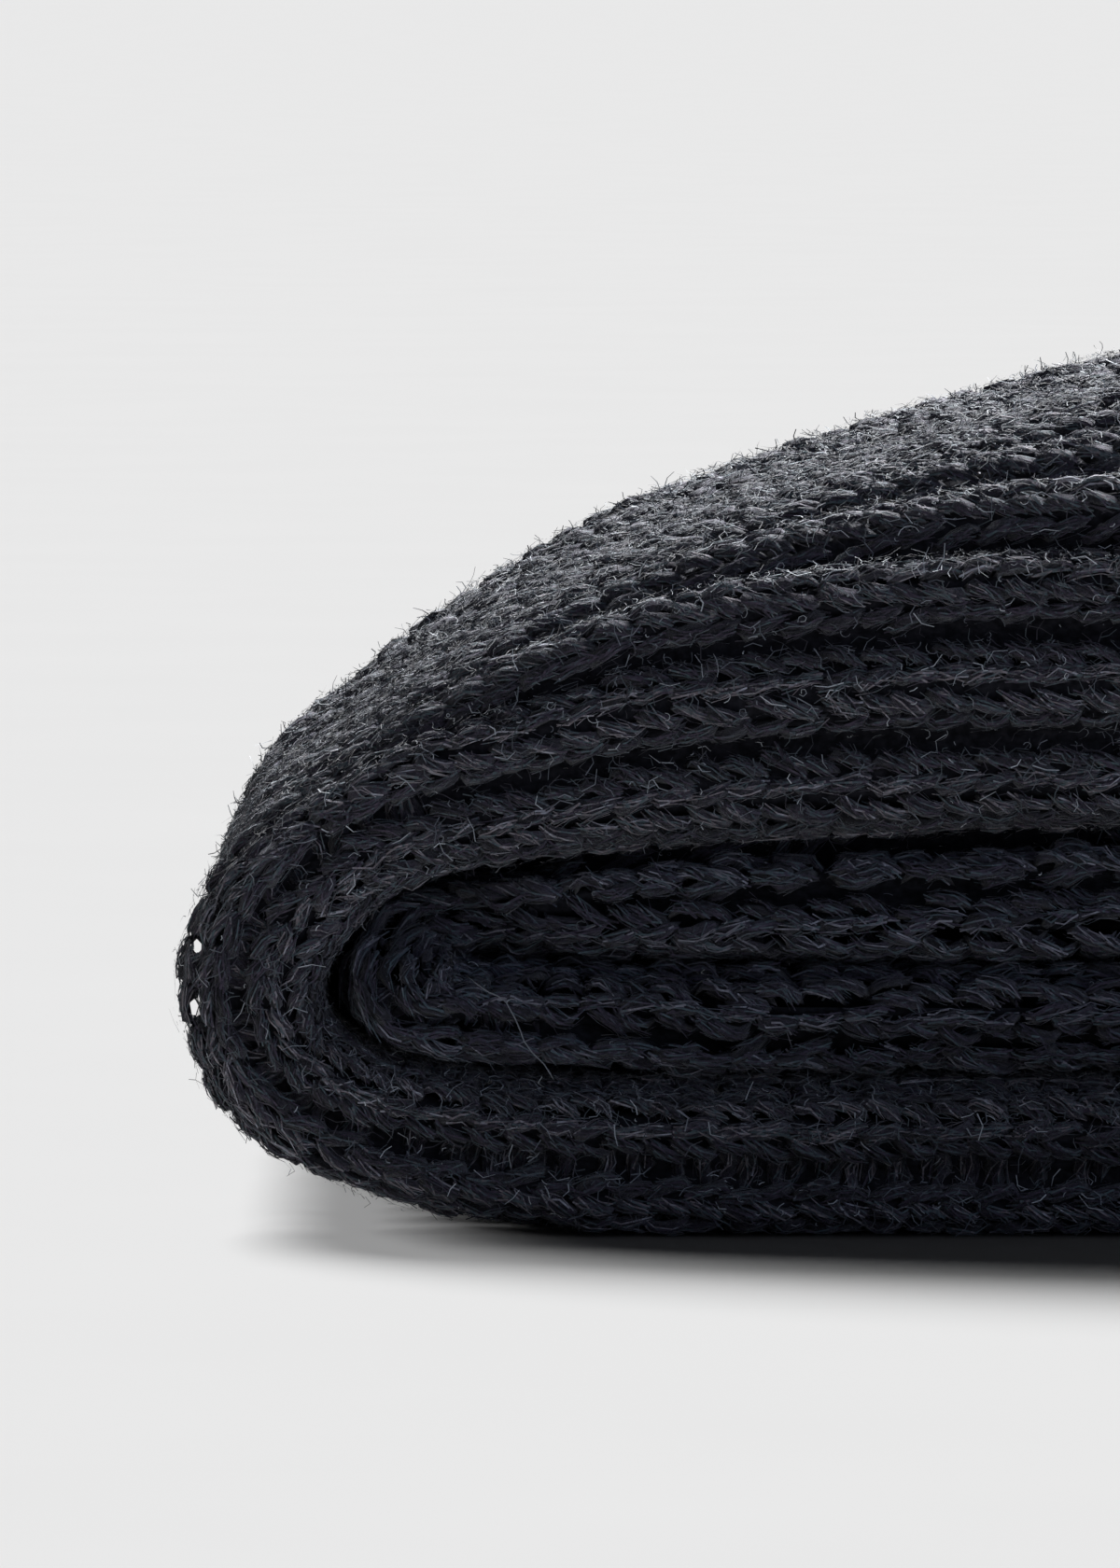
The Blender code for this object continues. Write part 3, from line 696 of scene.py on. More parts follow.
# %% The yarn of both socks
# Charcoal yarn of the outer sock: dark, with greyer streaks that give the ribs their heathered look
outer_yarn = wool_yarn(
    "charcoal wool, carded from black and grey fleece and spun soft",
    [
        (0.32, "#101015"),
        (0.44, "#27262f"),
        (0.54, "#403846"),  # a trace of plum and one of teal, as in the photograph's wool
        (0.63, "#445459"),
        (0.72, "#6a6267"),
        (0.88, "#9599a5"),
    ],
    0.35,
)
# The inner sock is the same yarn painted a little darker: painted shade, since it lies under the outer sock
inner_yarn = wool_yarn(
    "charcoal wool, the same spinning painted darker as shade",
    [
        (0.32, "#101118"),
        (0.44, "#282832"),
        (0.54, "#3e3848"),
        (0.63, "#425259"),
        (0.74, "#62606b"),
        (0.9, "#8b909d"),
    ],
    0.25,
)

# %% The wool of the walls


def wool_wall(name, dark, pale):
    """The back of the stitches: the same wool painted darker and flat, as painted shade where hardly any
    light gets.
    """
    settings = {"Roughness": 0.95, "IOR": WOOL_IOR, "Specular IOR Level": 0.1}
    material, shader, ramp = finished(name, settings, [(0.35, dark), (0.7, pale)])
    place = add_node(material, "ShaderNodeTexCoord").outputs["Object"]
    noise = {"Vector": place, "Scale": 2500.0, "Detail": 3.0}
    grain = add_node(material, "ShaderNodeTexNoise", noise).outputs["Fac"]
    material.node_tree.links.new(grain, ramp.inputs["Fac"])
    relief(material, shader, grain, 0.1 * MM, 0.6)
    return material


# The wall behind the loops is painted dark as the shade between them, which draws each stitch
outer_wall = wool_wall("charcoal wool wall behind the loops, outer sock", "#121318", "#26262c")
inner_wall = wool_wall("charcoal wool wall behind the loops, inner sock", "#101116", "#222329")

# %% [markdown]
# ## The walls
#
# Under the stitches each sock is a real tube: an outer skin and a hollow skin joined at the cuff and
# closed at the toe, so it is a thin cloth and not a block. It lies a little inside the grid, which
# leaves room for the yarn on top.

# %% The wall of each sock
CREST_UNDER, VALLEY_UNDER = 0.7, 1.1  # mm from the grid down to the wall, at crests and in valleys
PINHOLE_MARGIN = 0.3  # mm by which the wall's holes are wider than the yarn's


def wall_mesh(name, tube, along, around, material):
    """The tube's wall: its outside, its hollow, the rim at the cuff and both ends at the toe."""
    leans = np.array([row.lean for row in tube.rows])
    every_second = np.arange(len(leans)) % 2 == 0
    turn = np.flatnonzero((leans > 5) & (leans < 176) & (every_second | ((leans > 55) & (leans < 115))))
    rows = np.unique(np.r_[np.arange(0, len(tube.skin), along), turn, len(tube.skin) - 1].astype(int))
    in_valley = np.clip(np.abs(2 * (np.arange(RING) / PER_RIB % 1) - 1) * 2 - 1, 0, 1)[:, None]
    under = CREST_UNDER + (VALLEY_UNDER - CREST_UNDER) * in_valley
    outside = (tube.skin - tube.normals * under)[rows][:, ::around]
    hollow = tube.hollow[rows][:, ::around]
    count, ring = outside.shape[:2]
    points = above_floor(np.concatenate([outside.reshape(-1, 3), hollow.reshape(-1, 3)]))
    i, j = np.meshgrid(np.arange(count - 1), np.arange(ring), indexing="ij")
    after = (j + 1) % ring
    skin = np.stack([i * ring + j, (i + 1) * ring + j, (i + 1) * ring + after, i * ring + after], axis=-1)
    skin = skin.reshape(-1, 4)
    back = skin[:, ::-1] + count * ring
    k = np.arange(ring)
    rim = np.stack([k, (k + 1) % ring, (k + 1) % ring + count * ring, k + count * ring], axis=1)
    # the closed end: each skin is fanned to a point of its own
    ends = np.array([outside[-1].mean(axis=0), hollow[-1].mean(axis=0)])
    last, tip = (count - 1) * ring, 2 * count * ring
    fan = np.stack([last + k, 0 * k + tip, last + (k + 1) % ring], axis=1)
    back_fan = np.stack([last + (k + 1) % ring, 0 * k + tip + 1, last + k], axis=1)
    back_fan += np.array([count * ring, 0, count * ring])
    print(name, "has", len(skin) * 4 + ring * 4, "triangles")
    faces = [skin, back, rim, fan, back_fan]
    return mesh_object(name, np.concatenate([points, ends]), faces, material, margin=PINHOLE_MARGIN)


outer_cloth = wall_mesh("outer_cloth", outer, 9, 2, outer_wall)
inner_cloth = wall_mesh("inner_cloth", inner, 9, 4, inner_wall)

# %% [markdown]
# ## Which stitches can be seen
#
# Most of the inner sock and the whole underside are hidden. From each place on a tube a few straight
# lines are followed outwards; where none of them gets away, no stitch is made.

# %% Open lines of sight
FINE_X, FINE_Y = 46.0, -6.0  # the near part of the fold, which the photograph shows
SIGHT_FROM = 0.4  # mm over the cloth, where a line of sight starts
SIGHTS = [
    Vector((math.sin(a) * math.cos(e), -math.cos(a) * math.cos(e), math.sin(e)))
    for e, turns in ((math.radians(4), 12), (math.radians(30), 8), (math.radians(60), 5), (math.pi / 2, 1))
    for a in (2 * math.pi * turn / turns for turn in range(turns))
]


def blocker(cloths):
    """Both walls as one tree that tells what a straight line hits, in mm from the frame's middle."""
    points, faces = [], []
    for cloth in cloths:
        base = len(points)
        points += [vertex.co / MM for vertex in cloth.data.vertices]
        faces += [[base + v for v in polygon.vertices] for polygon in cloth.data.polygons]
    return BVHTree.FromPolygons(points, faces)


# %% What can be seen of each tube
walls = blocker((outer_cloth, inner_cloth))


def seen_map(tube):
    """For every other course and every rib, whether an open line reaches it or a neighbour."""
    seen, close = np.zeros((2, len(tube.skin) // 4 + 1, RIBS_OUT + RIBS_IN), bool)
    for step in range(len(seen)):
        row = min(step * 4, len(tube.skin) - 1)
        for rib in range(seen.shape[1]):
            column = rib * PER_RIB + PER_RIB // 2
            normal = Vector(tube.normals[row, column])
            start = Vector(tube.skin[row, column] + shift) + normal * SIGHT_FROM
            free = [normal.dot(d) > -0.05 and walls.ray_cast(start, d)[0] is None for d in SIGHTS]
            close[step, rib] = tube.skin[row, column, 0] < FINE_X
            seen[step, rib] = free[0] or sum(free) > (4 if close[step, rib] else 2)
    print("open to sight:", round(float(seen.mean()), 2))
    # in the photograph's part their neighbours are knitted too, since they show between them
    return seen | (close & (np.roll(seen, 1, axis=1) | np.roll(seen, -1, axis=1)))


outer_seen, inner_seen = seen_map(outer), seen_map(inner)

# %% [markdown]
# ## Stitches
#
# A knit stitch shows as a V: two legs of one loop that start together and spread, each passing over the
# stitch before. The wide ends of the Vs point to the toe, since the sock was knitted down from its
# cuff. Two columns of these Vs make a rib. Between ribs one column is purled, so it shows its back:
# short bars that lie across, deep in the valley.

# %% The path of one leg
# course along the column, wale widths from the column's middle, mm over the grid, thickness
LEG = np.array(
    [
        (-0.32, 0.11, -0.85, 0.65),
        (-0.08, 0.12, -0.36, 0.9),
        (0.18, 0.16, -0.17, 1.0),
        (0.45, 0.23, -0.13, 1.02),
        (0.72, 0.31, -0.15, 1.02),
        (0.98, 0.35, -0.33, 0.95),
        (1.20, 0.33, -0.85, 0.65),
    ]
)
WALE = 0.47  # a column's width as a share of a rib
COLUMNS = (-0.245, 0.245)  # the middles of a rib's two knit columns, from the rib's middle
YARN_WIDE, YARN_HIGH = 0.39, 0.28  # mm, half of the yarn across the leg and out of the cloth

# %% Reading the grid and the paths


def sampled(grid, course, ring):
    """Reads a grid at any course and at any place round the ring, counted in ribs."""
    row = np.clip(course * 2, 0, len(grid) - 1.001)
    column = np.mod(ring * PER_RIB, RING)
    i, j = row.astype(int), column.astype(int) % RING
    u, v, k = (row - i)[..., None], (column - np.floor(column))[..., None], (j + 1) % RING
    before, after = grid[i, j] * (1 - v) + grid[i, k] * v, grid[i + 1, j] * (1 - v) + grid[i + 1, k] * v
    return before * (1 - u) + after * u


def smooth_path(table, points):
    """A table of a path's points read at more or fewer places."""
    places = np.linspace(0, len(table) - 1, points)
    return np.column_stack([between_rows(column, np.arange(len(table)), places) for column in table.T])


# %% Where the stitches are
FULL_WIDTH = 1.96  # mm, a column's width away from the toe


def stitch_places(tube, seen, seed, unruly):
    """The course and ring place of every stitch that can be seen, and how many columns it stands for."""
    courses = np.arange(0.4, (len(tube.skin) - 1) / 2 - 0.2)
    ribs = np.arange(RIBS_OUT + RIBS_IN)
    course, rib, column = (g.ravel() for g in np.meshgrid(courses, ribs, (0, 1), indexing="ij"))
    keep = seen[np.minimum(np.round(course / 2).astype(int), len(seen) - 1), rib]
    course, rib, column = course[keep], rib[keep], column[keep]
    ring = rib + 0.5 + np.take(COLUMNS, column)
    width = np.linalg.norm(
        sampled(tube.skin, course, ring + WALE / 2) - sampled(tube.skin, course, ring - WALE / 2), axis=1
    )
    # near the toe the columns get narrow, and every second one ends, as in a toe that is knitted narrower
    halved = np.clip(np.floor(np.log2(FULL_WIDTH / np.maximum(width, 0.1)) + 0.35), 0, 3).astype(int)
    keep = (rib * 2 + column) % 2**halved == 0
    course, ring, halved = course[keep], ring[keep], halved[keep]
    dice = np.random.default_rng(seed)
    start = dice.uniform(-0.3, 0.3, RIBS_OUT + RIBS_IN)  # the rows don't line up from one rib to the next
    course = course + start[ring.astype(int)] + dice.normal(0, 0.06 * unruly, len(course))
    ring = ring + dice.normal(0, 0.014 * unruly, len(ring))
    return course, ring, halved


# %% [markdown]
# ## Fibres on the yarn
#
# Close up, wool yarn is a bundle of fibres that turn round it and stand off at their ends. A hair system
# could draw them, but then they wouldn't be a mesh that can be passed on. Each fibre here is a mesh ribbon,
# laid round the leg that it belongs to. A real one is about 0.03 mm thick, too fine to show in the render, so
# these are drawn two to four times as coarse.

# %% Fibres round the legs
FIBRE_TURN = 1.1  # radians that a fibre turns round the yarn along one leg
FIBRE_WIDE = (0.028, 0.056)  # mm, half of the thinnest and of the thickest


def fibres(line, ups, wide, number, points, seed, pale=None):
    """Fibres round the outer side of every leg, a little off it at their ends, as ribbons."""
    count, steps = line.shape[:2]
    dice = np.random.default_rng(seed)
    leg = np.repeat(np.arange(count), number)
    start, end = dice.uniform(0.03, 0.4, (len(leg), 1)), dice.uniform(0.6, 0.97, (len(leg), 1))
    place = (start + (end - start) * np.linspace(0, 1, points)) * (steps - 1)
    low = np.minimum(place.astype(int), steps - 2)
    share = (place - low)[..., None]

    def read(values):
        return values[leg[:, None], low] * (1 - share) + values[leg[:, None], low + 1] * share

    along = unit(read(np.gradient(line, axis=1)))
    side = unit(np.cross(along, read(ups)))
    up = np.cross(side, along)
    angle = dice.uniform(-1.4, 1.4, (len(leg), 1)) + FIBRE_TURN * np.linspace(-0.5, 0.5, points)
    angle = (angle + dice.normal(0, 0.3, angle.shape))[..., None]
    away = dice.normal(1.06, 0.1, angle.shape)
    away[:, -1] += dice.exponential(0.28, (len(leg), 1))
    away[:, 0] += dice.exponential(0.12, (len(leg), 1))
    reach = read(np.broadcast_to(wide, (count, steps))[..., None]) * away
    path = read(line) + side * np.sin(angle) * reach + up * np.cos(angle) * reach * YARN_HIGH / YARN_WIDE
    thin = dice.uniform(*FIBRE_WIDE, (len(leg), 1)) * np.linspace(1, 0.75, points)
    ends, faces, labels = ribbons(path, side * np.sin(angle) + up * np.cos(angle), thin, seed + 3)
    spun = [place * 0.4 + dice.uniform(0, 100, (len(leg), 1)), angle[..., 0] * 0.3, 0 * place]
    spun = np.stack(spun, axis=-1)
    heather = 0.25 + 0.75 * labels["heather"]
    # pale carries the painted shade of the legs by the valleys and on the crown ribs' fronts
    if pale is not None:
        heather = heather * np.repeat(0.3 + 0.7 * pale[leg, 0], 2 * points)
    return ends, faces, {"yarn": np.repeat(spun, 2, axis=1).reshape(-1, 3), "heather": heather}


# %% Both legs of every stitch


def stitch_legs(tube, places, detail, seed, unruly):
    """Both legs of every stitch, as strands with fibres round them."""
    course, ring, halved = places
    dice = np.random.default_rng(seed)
    path = smooth_path(LEG, detail.points)
    parts = []
    for hand in (-1, 1):
        lean = dice.normal(0, 0.07 * unruly, len(course))[:, None]
        spread = 1 + dice.normal(0, 0.15 * unruly, len(course))[:, None]
        lift = dice.normal(0, 0.06 * unruly, len(course))[:, None]
        fat = 1 + dice.normal(0, 0.1, len(course))[:, None]
        along = course[:, None] + path[:, 0] + lean
        by_valley = np.sign(ring % 1 - 0.5) == hand
        # a leg next to a valley lies straighter, and is painted darker: painted shade from the valley beside
        # it
        drawn_in = np.where(by_valley, 0.9, 1.0)
        reach = spread * WALE * (drawn_in * 2.0**halved)[:, None]
        across = ring[:, None] + hand * path[:, 1] * reach
        base, normal = sampled(tube.skin, along, across), unit(sampled(tube.normals, along, across))
        line = base + normal * (path[:, 2] + lift)[..., None] + dice.normal(0, 0.035 * unruly, base.shape)
        wide = YARN_WIDE * path[:, 3] * fat
        # the near column of a rib on the crown is painted darker too: painted shade on the fronts of the
        # ribs, which face away from the light
        in_front = (ring > 2) & (ring < RIBS_OUT) & (ring % 1 < 0.5)
        # pale holds this painted shade, and carries it to the cores and the fibres
        pale = (np.where(by_valley, 0.5, 1.0) * np.where(in_front, 0.72, 1.05))[:, None]
        core_pale_with_painted_shade = pale * (0.35 if detail.fibres else 0.6)  # fibres on top, where there are any, are pale
        high = wide * YARN_HIGH / YARN_WIDE
        parts.append(strands(line, normal, wide, high, detail.sides, seed + 7 * hand, pale=core_pale_with_painted_shade))
        if detail.fibres:
            number, points = detail.fibres, detail.fibre_points
            parts.append(fibres(line, normal, wide, number, points, seed + 5 * hand, pale))
    return joined(parts)


# %% [markdown]
# ## Where the detail goes
#
# The photograph shows 43 mm of the near edge. The stitches there get the most fibres, those on the far
# side of the crown get fewer, and all the others are plain legs of yarn. One piece can't hold them all,
# so they are dealt out over a few pieces, each under a fixed number of triangles.

# %% Parts of a sock, by how the photograph shows them
CROWN_TO = 34.0  # mm across from the middle, as far as the photograph shows the crown


def near_fold(spot):
    return (spot[:, 0] < FINE_X) & (spot[:, 1] < FINE_Y)


def over_crown(spot):
    """What the photograph shows past the near part: the far side of the crown, seen at a low angle."""
    return (spot[:, 0] < FINE_X) & (spot[:, 1] >= FINE_Y) & (spot[:, 1] < CROWN_TO)


def elsewhere(spot):
    return ~near_fold(spot) & ~over_crown(spot)


def in_region(tube, places, region):
    chosen = region(sampled(tube.skin, places[0], places[1]))
    return [p[chosen] for p in places]


# %% Pieces of a fair size
PIECE_LIMIT = 190_000  # triangles in one piece


def in_pieces(name, places, triangles_each, make, material):
    """Makes strands for all the places, in as few pieces as the limit allows."""
    number = max(1, math.ceil(len(places[0]) * triangles_each / PIECE_LIMIT))
    pieces = []
    for part in range(number):
        chosen = [p[part::number] for p in places]
        points, faces, labels = make(chosen, part)
        label = f"{name}_{part + 1}" if number > 1 else name
        pieces.append(mesh_object(label, above_floor(points), faces, material, labels))
    triangles = len(places[0]) * triangles_each
    print(name, "is", len(places[0]), "places in", number, "pieces,", triangles, "triangles")
    return pieces


# %% Stitches of both socks
Detail = namedtuple("Detail", "points sides fibres fibre_points")  # of one leg
FINE, MIDDLE, PLAIN = Detail(5, 3, 12, 4), Detail(5, 3, 6, 3), Detail(4, 3, 0, 0)


def knit(name, tube, seen, seed, unruly, material):
    """All the visible knit stitches of a tube, finely made near the camera."""
    places = stitch_places(tube, seen, seed, unruly)
    pieces = []
    for label, region, detail, rubbed in (
        ("near", near_fold, FINE, 1.0),
        ("crown", over_crown, MIDDLE, 1.7),  # the top is handled most, so its stitches are the least even
        ("rest", elsewhere, PLAIN, 1.0),
    ):
        each = 4 * detail.sides * (detail.points - 2) + 4 * detail.fibres * max(detail.fibre_points - 1, 0)

        def make(chosen, part, detail=detail, rubbed=rubbed):
            return stitch_legs(tube, chosen, detail, seed + part * 31, unruly * rubbed)

        pieces += in_pieces(f"{name}_{label}", in_region(tube, places, region), each, make, material)
    return pieces


outer_stitches = knit("outer_stitches", outer, outer_seen, 11, 1.0, outer_yarn)
inner_stitches = knit("inner_stitches", inner, inner_seen, 23, 2.2, inner_yarn)

# %% Purl bars in the valleys
# ribs across the valley from its middle, courses, mm over the grid, thickness
BAR = np.array(
    [
        (-0.14, 0.26, -1.20, 0.6),
        (-0.07, 0.10, -0.95, 0.9),
        (0.0, -0.02, -0.85, 1.0),
        (0.07, 0.10, -0.95, 0.9),
        (0.14, 0.26, -1.20, 0.6),
    ]
)
BAR_SIDES, BAR_FIBRES = 4, 6
BARS_KEPT = 0.85  # the rest sink out of sight between their neighbours


def purl_bars(name, tube, seen, seed, unruly, material, below, left):
    """The bars of the purl columns near the camera, two a course, low down or at the fold's left."""
    path = smooth_path(BAR, MIDDLE.points)
    courses = np.arange(0.9, (len(tube.skin) - 1) / 2 - 12, 0.5)
    course, rib = (g.ravel() for g in np.meshgrid(courses, np.arange(RIBS_OUT + RIBS_IN), indexing="ij"))
    row = np.minimum(np.round(course / 2).astype(int), len(seen) - 1)
    where = sampled(tube.skin, course, rib.astype(float))
    dice = np.random.default_rng(seed)
    keep = (dice.uniform(0, 1, len(row)) < BARS_KEPT) & seen[row, rib] & seen[row, rib - 1]
    keep &= near_fold(where) & ((where[:, 2] < below) | (where[:, 0] < left))
    course, rib = course[keep], rib[keep].astype(float)
    bend = np.where(np.round(course * 2).astype(int) % 2 == 0, 1, -1)
    course = course + dice.normal(0, 0.12 * unruly, len(course))

    def make(chosen, part):
        loose = dice.normal(0, 1, (4, len(chosen[0]), 1))
        along = chosen[0][:, None] + path[:, 1] * chosen[2][:, None] + loose[0] * path[:, 0] * 0.8 * unruly
        across = chosen[1][:, None] + path[:, 0] * (1 + 0.2 * loose[1])
        normal = unit(sampled(tube.normals, along, across))
        line = sampled(tube.skin, along, across) + normal * (path[:, 2] + 0.12 * loose[2])[..., None]
        wide = YARN_WIDE * path[:, 3] * (1 + 0.15 * loose[3])
        core = strands(line, normal, wide, wide * YARN_HIGH / YARN_WIDE, BAR_SIDES, seed + part, pale=0.35)
        return joined([core, fibres(line, normal, wide, BAR_FIBRES, 3, seed + part)])

    each = 2 * BAR_SIDES * (MIDDLE.points - 2) + 4 * BAR_FIBRES
    return in_pieces(name, [course, rib, bend], each, make, material)


outer_bars = purl_bars("outer_purl_near", outer, outer_seen, 41, 1.5, outer_yarn, 10.0, 12.0)
inner_bars = purl_bars("inner_purl_near", inner, inner_seen, 43, 2.0, inner_yarn, 0.0, 17.0)

# %% [markdown]
# ## Cast-on edges
#
# The open end of a sock starts with a cast-on, a chain of slanted loops over the rim. It's outside the
# photograph, so it is plain: one slanted strand for each column, all round.

# %% Cast-on chains
# columns along the rim, courses, mm over the grid, thickness
CHAIN = np.array(
    [
        (-0.6, 0.35, -0.5, 0.5),
        (-0.3, 0.1, 0.05, 1.0),
        (0.1, -0.35, 0.1, 1.1),
        (0.5, -0.5, -0.1, 1.0),
        (0.8, -0.4, -0.7, 0.5),
    ]
)
CHAIN_WIDE, CHAIN_HIGH = 0.45, 0.4  # mm, half of the strand across and out of the cloth


def cast_on(name, tube, seed, material):
    """Slanted strands over the rim, one for each column."""
    ring = np.arange((RIBS_OUT + RIBS_IN) * 2) / 2 + 0.25
    across = ring[:, None] + CHAIN[:, 0] * 0.5
    along = np.broadcast_to(CHAIN[:, 1] * 0.6 + 0.1, across.shape)
    normal = unit(sampled(tube.normals, along, across))
    line = sampled(tube.skin, along, across) + normal * CHAIN[:, 2][:, None]
    line[..., 0] += 0.5  # mm past the rim
    wide, high = CHAIN_WIDE * CHAIN[:, 3], CHAIN_HIGH * CHAIN[:, 3]
    points, faces, labels = strands(line, normal, wide, high, 6, seed, pale=0.6)
    return mesh_object(name, above_floor(points), faces, material, labels)


outer_edge = cast_on("outer_cast_on", outer, 51, outer_yarn)
inner_edge = cast_on("inner_cast_on", inner, 53, inner_yarn)

# %% [markdown]
# ## Loose hairs
#
# Rubbing lifts hairs out of the yarn, and they lie thickest on the tops of the upper ribs. They are grey, and
# painted paler than the cloth as painted light, which stands for the light that comes through them. Each is a
# thin curled strand, so it catches light as a real hair does.

# %% The colour of the hairs
hair_wool, _, hair_ramp = finished(
    "grey wool hairs, lifted from the yarn by wear",
    {"Roughness": 0.75, "IOR": WOOL_IOR, "Sheen Weight": 0.2, "Specular IOR Level": 0.2},
    [
        (0.0, "#232329"),
        (0.35, "#3c3a42"),
        (0.6, "#4a5357"),
        (0.8, "#5c6069"),
        (0.9, "#7f858c"),
        (1.0, "#b4bac0"),
    ],
)
own = add_node(hair_wool, "ShaderNodeAttribute", attribute_name="heather")
hair_wool.node_tree.links.new(own.outputs["Fac"], hair_ramp.inputs["Fac"])

# %% Hairs on the cloth
TRIES = 30  # places looked at for each hair, since most fall outside the region


def hairs(name, tube, seen, number, region, seed, points, long, thick, palest=0.0, lift=(-0.25, 0.2)):
    """Curled hairs on the visible cloth, most of them where it faces up."""
    dice = np.random.default_rng(seed)
    course = dice.uniform(0.3, (len(tube.skin) - 1) / 2 - 0.5, number * TRIES)
    ring = dice.uniform(0, RIBS_OUT + RIBS_IN, number * TRIES)
    keep = seen[np.minimum(np.round(course / 2).astype(int), len(seen) - 1), ring.astype(int)]
    course, ring = course[keep], ring[keep]
    spot, normal = sampled(tube.skin, course, ring), unit(sampled(tube.normals, course, ring))
    crest = np.abs(ring % 1 - 0.5) < 0.4
    upward = np.clip(normal[:, 2], 0, 1)
    chance = (0.25 + 0.75 * upward) * np.where(crest, 1, 0.3)
    likely = region(spot) & (dice.uniform(0, 1, len(course)) < chance)
    spot, normal = spot[likely][:number], normal[likely][:number]
    count = len(spot)
    step = (dice.uniform(0.2, 1, count) ** 1.5 * long / (points - 1))[:, None]
    flat = dice.normal(0, 1, (count, 3))
    heading = unit(flat - normal * (flat * normal).sum(axis=1, keepdims=True))
    heading = unit(heading + normal * dice.uniform(*lift, (count, 1)))
    axis = unit(normal + dice.normal(0, 0.3, (count, 3)))
    turn = dice.uniform(0.3, 1.3, (count, 1)) * dice.choice((-1, 1), (count, 1))
    line = [spot + normal * dice.uniform(0.1, 0.3, (count, 1))]
    for _ in range(points - 1):
        line.append(line[-1] + heading * step)
        bent = heading * np.cos(turn) + np.cross(axis, heading) * np.sin(turn)
        heading = unit(bent + axis * (axis * heading).sum(axis=1, keepdims=True) * (1 - np.cos(turn)))
    width = thick * dice.uniform(0.6, 1.2, (count, 1)) * np.linspace(1, 0.6, points)
    ups = np.repeat(normal[:, None], points, axis=1)
    ends, faces, labels = ribbons(np.stack(line, axis=1), ups, width, seed)
    labels["heather"] = palest + (1 - palest) * labels["heather"]
    print(name, "has", count, "hairs and", len(faces[0]) * 2, "triangles")
    return mesh_object(name, above_floor(ends), faces, hair_wool, labels)


# %% Hairs of both socks
TOPS_TO, TOPS_OVER = 10.0, 22.0  # mm: how far across the pale hairs lie, and above what height


def rib_tops(spot):
    """The upper ribs from the near edge to the middle of the crown, whose tops the light just reaches."""
    return (spot[:, 0] < FINE_X) & (spot[:, 1] < TOPS_TO) & (spot[:, 2] > TOPS_OVER)


# each line: how many, where, seed, points, mm long, half the width in mm, and for the pale ones how
# pale and how lifted; farther off they are coarser, since real ones would be too fine to show
outer_hairs = [
    hairs("outer_hairs_short", outer, outer_seen, 26000, near_fold, 61, 3, 1.4, 0.025),
    # the pale hairs on the rib tops are painted light: their pale colour stands for light shining through
    # them
    hairs("outer_hairs_pale", outer, outer_seen, 4200, rib_tops, 66, 6, 1.3, 0.017, 0.75, (-0.1, 0.5)),
    hairs("outer_hairs_long", outer, outer_seen, 500, near_fold, 64, 7, 1.7, 0.02),
    hairs("outer_hairs_crown", outer, outer_seen, 13500, over_crown, 65, 4, 1.5, 0.034),
    hairs("outer_hairs_rest", outer, outer_seen, 4500, elsewhere, 62, 4, 1.8, 0.045),
]
inner_hairs = [hairs("inner_hairs", inner, inner_seen, 1200, near_fold, 63, 5, 0.9, 0.018)]

# %% [markdown]
# ## One loose hair
#
# One long hair hangs out of the fold, over the end of the inner sock. It is the only single hair that
# the eye picks out in the photograph, so it gets a path of its own.

# %% The hair over the inner sock's end
LOOSE = np.array(
    [
        (13.6, -38.8, 11.9),
        (14.6, -39.5, 11.2),
        (15.3, -39.8, 10.9),
        (16.0, -40.0, 9.7),
        (16.3, -40.1, 8.9),
        (17.2, -40.0, 7.9),
        (17.6, -39.8, 7.2),
    ]
)
loose_line = smooth_path(LOOSE, 12)[None]
loose_up = np.broadcast_to(np.array([0.0, -1.0, 0.3]), loose_line.shape)
loose_ends, loose_faces, loose_labels = strands(loose_line, loose_up, 0.03, 0.03, 4, 71, uneven=0.1)
inner_hairs.append(mesh_object("inner_loose_hair", loose_ends, loose_faces, hair_wool, loose_labels))

# %% [markdown]
# ## The pieces in place of the model's parts
#
# The wall, its stitches and its hairs are one cloth. The model's part for each sock is hidden, and all its
# pieces are attached to one root.

# %% Hiding the model's parts, attaching the pieces
outer_wool = outer_stitches + outer_bars + [outer_edge] + outer_hairs
inner_wool = inner_stitches + inner_bars + [inner_edge] + inner_hairs
socks = (
    ("sock_outer", "charcoal_wool_rib", outer_cloth, outer_wool, inner_cloth),
    ("sock_inner", "charcoal_wool_rib_shaded", inner_cloth, inner_wool, outer_cloth),
)
for node, slot, cloth, yarn_pieces, other in socks:
    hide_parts(node)
    for piece in [cloth, *yarn_pieces]:
        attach(piece, "root")

# %% [markdown]
# ## Table and light
#
# The photograph has a seamless pale ground. A very large matt sheet stands for it, so its edge never
# comes into view. Two soft distant lights from behind and from the left light the ground and make the
# short shadow in front. The wool has a softbox of its own, high behind it, which leaves the fronts of
# the ribs dark, and a weak one in front that lifts them a little. So the wool's tones and the shadow's
# can each be set against the photograph.

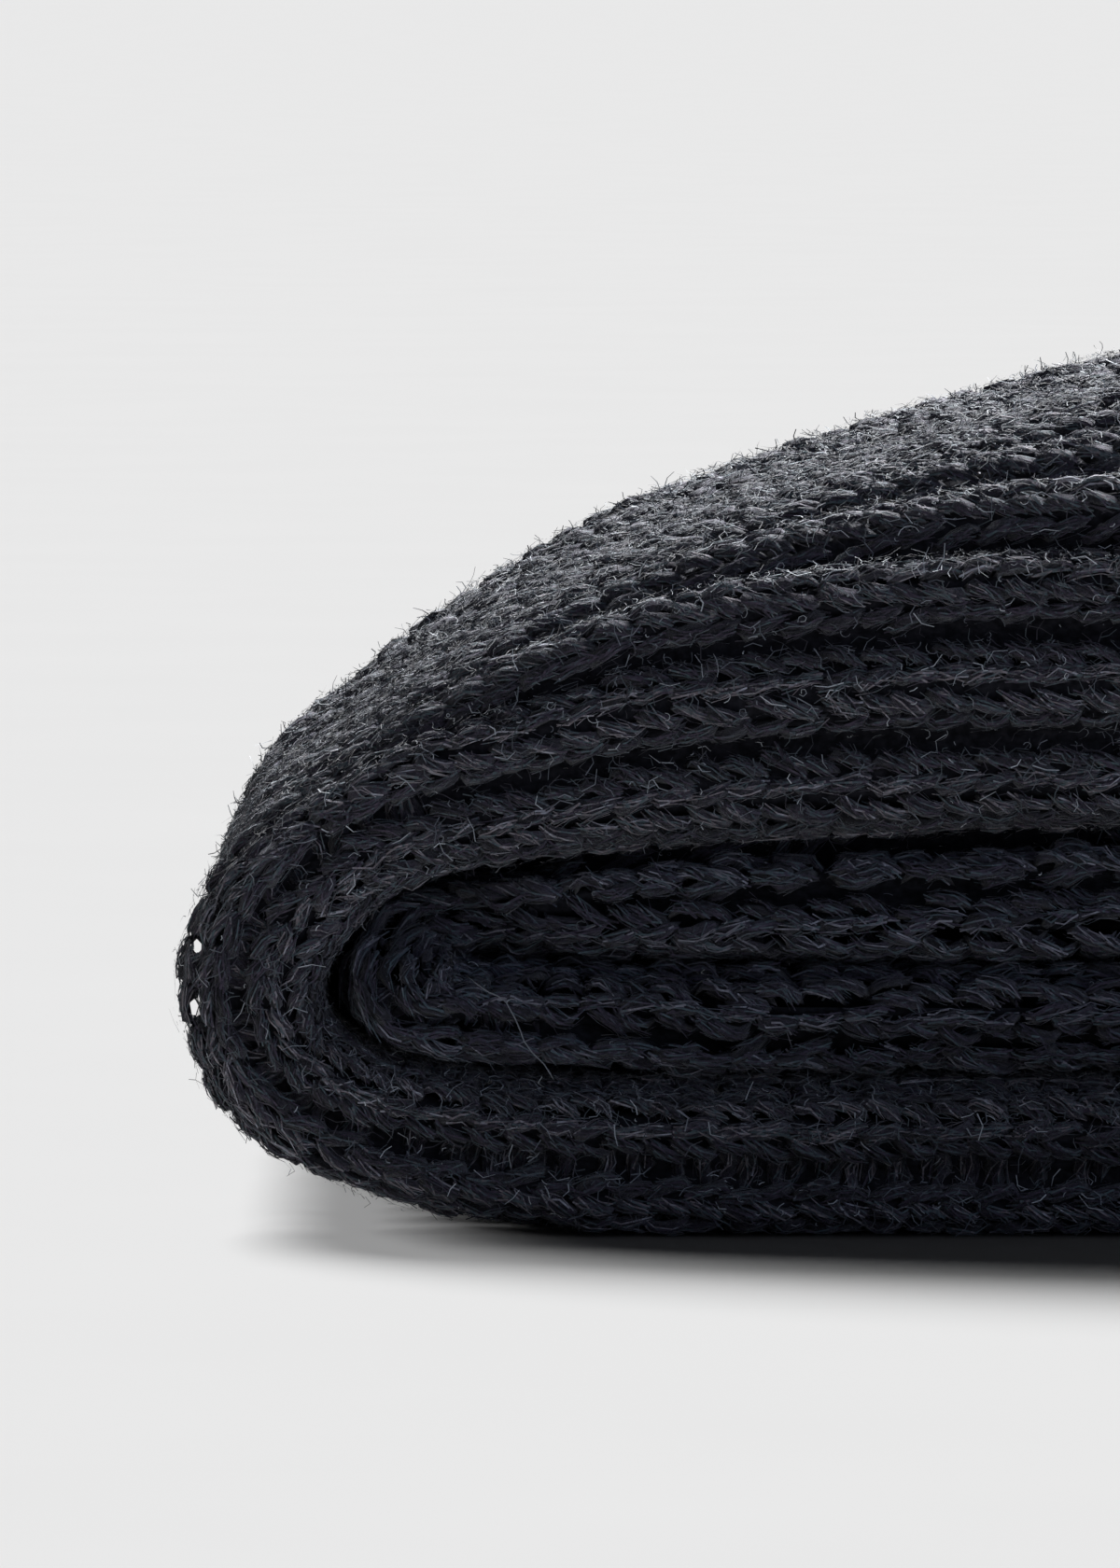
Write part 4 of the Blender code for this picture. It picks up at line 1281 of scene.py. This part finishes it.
# %% Pale ground
ground_paper, _, ground_ramp = finished(
    "matt pale paper, one seamless sheet",
    {"Roughness": 0.95, "Specular IOR Level": 0.0},
    [(0.0, "#e6e6e6"), (1.0, "#e9e9e9")],
)
ground_place = add_node(ground_paper, "ShaderNodeTexCoord").outputs["Object"]
ground_grain = add_node(ground_paper, "ShaderNodeTexNoise", {"Vector": ground_place, "Scale": 40.0})
ground_paper.node_tree.links.new(ground_grain.outputs["Fac"], ground_ramp.inputs["Fac"])
bpy.ops.mesh.primitive_circle_add(vertices=96, radius=60, fill_type="NGON", location=(0, 0, 0))
ground = bpy.context.object
ground.name = "ground"
ground.data.materials.append(ground_paper)

# %% Soft studio light
# azimuth, height and softness in degrees, then W/m2
KEYS = (("soft light behind", 210, 44, 26, 2.9), ("low soft light on the left", 240, 20, 26, 3.25))


def sun(name, azimuth, height, soft, power):
    """A soft distant light, from an azimuth of 0 behind the camera and 90 at its right."""
    light = bpy.data.lights.new(name, "SUN")
    light.angle, light.energy = math.radians(soft), power
    made = placed(name, light)
    turn, height = math.radians(azimuth), math.radians(height)
    level = math.cos(height)
    come_from = Vector((math.sin(turn) * level, -math.cos(turn) * level, math.sin(height)))
    made.rotation_euler = come_from.to_track_quat("Z", "Y").to_euler()
    return made


key = [sun(*settings) for settings in KEYS]

# %% Softboxes for the wool alone
lit = bpy.data.collections.new("lit by the softboxes")
for node, slot, cloth, yarn_pieces, other in socks:
    for piece in [cloth, *yarn_pieces]:
        lit.objects.link(piece)
for name, place, size, power, colour in (
    ("softbox overhead", (0.4, 0.62, 0.64), 0.8, 84, "#ffffff"),
    ("weak fill in front", (0.3, -0.6, 0.25), 0.6, 1.28, "#d6e2ff"),
):
    lamp = bpy.data.lights.new(name, "AREA")
    lamp.size, lamp.energy, lamp.color = size, power, linear(colour)[:3]
    softbox = placed(name, lamp)
    softbox.location = place
    softbox.rotation_euler = Vector(place).to_track_quat("Z", "Y").to_euler()
    softbox.light_linking.receiver_collection = lit
table = bpy.data.collections.new("lit by the distant lights")
table.objects.link(ground)
for light in key:
    light.light_linking.receiver_collection = table

# %% The room and the picture's tones
world = bpy.data.worlds.new("studio")
world.use_nodes = True
world.node_tree.nodes["Background"].inputs["Color"].default_value = linear("#dfe3ea")
world.node_tree.nodes["Background"].inputs["Strength"].default_value = 0.02
bpy.context.scene.world = world
bpy.context.scene.view_settings.view_transform = "Standard"
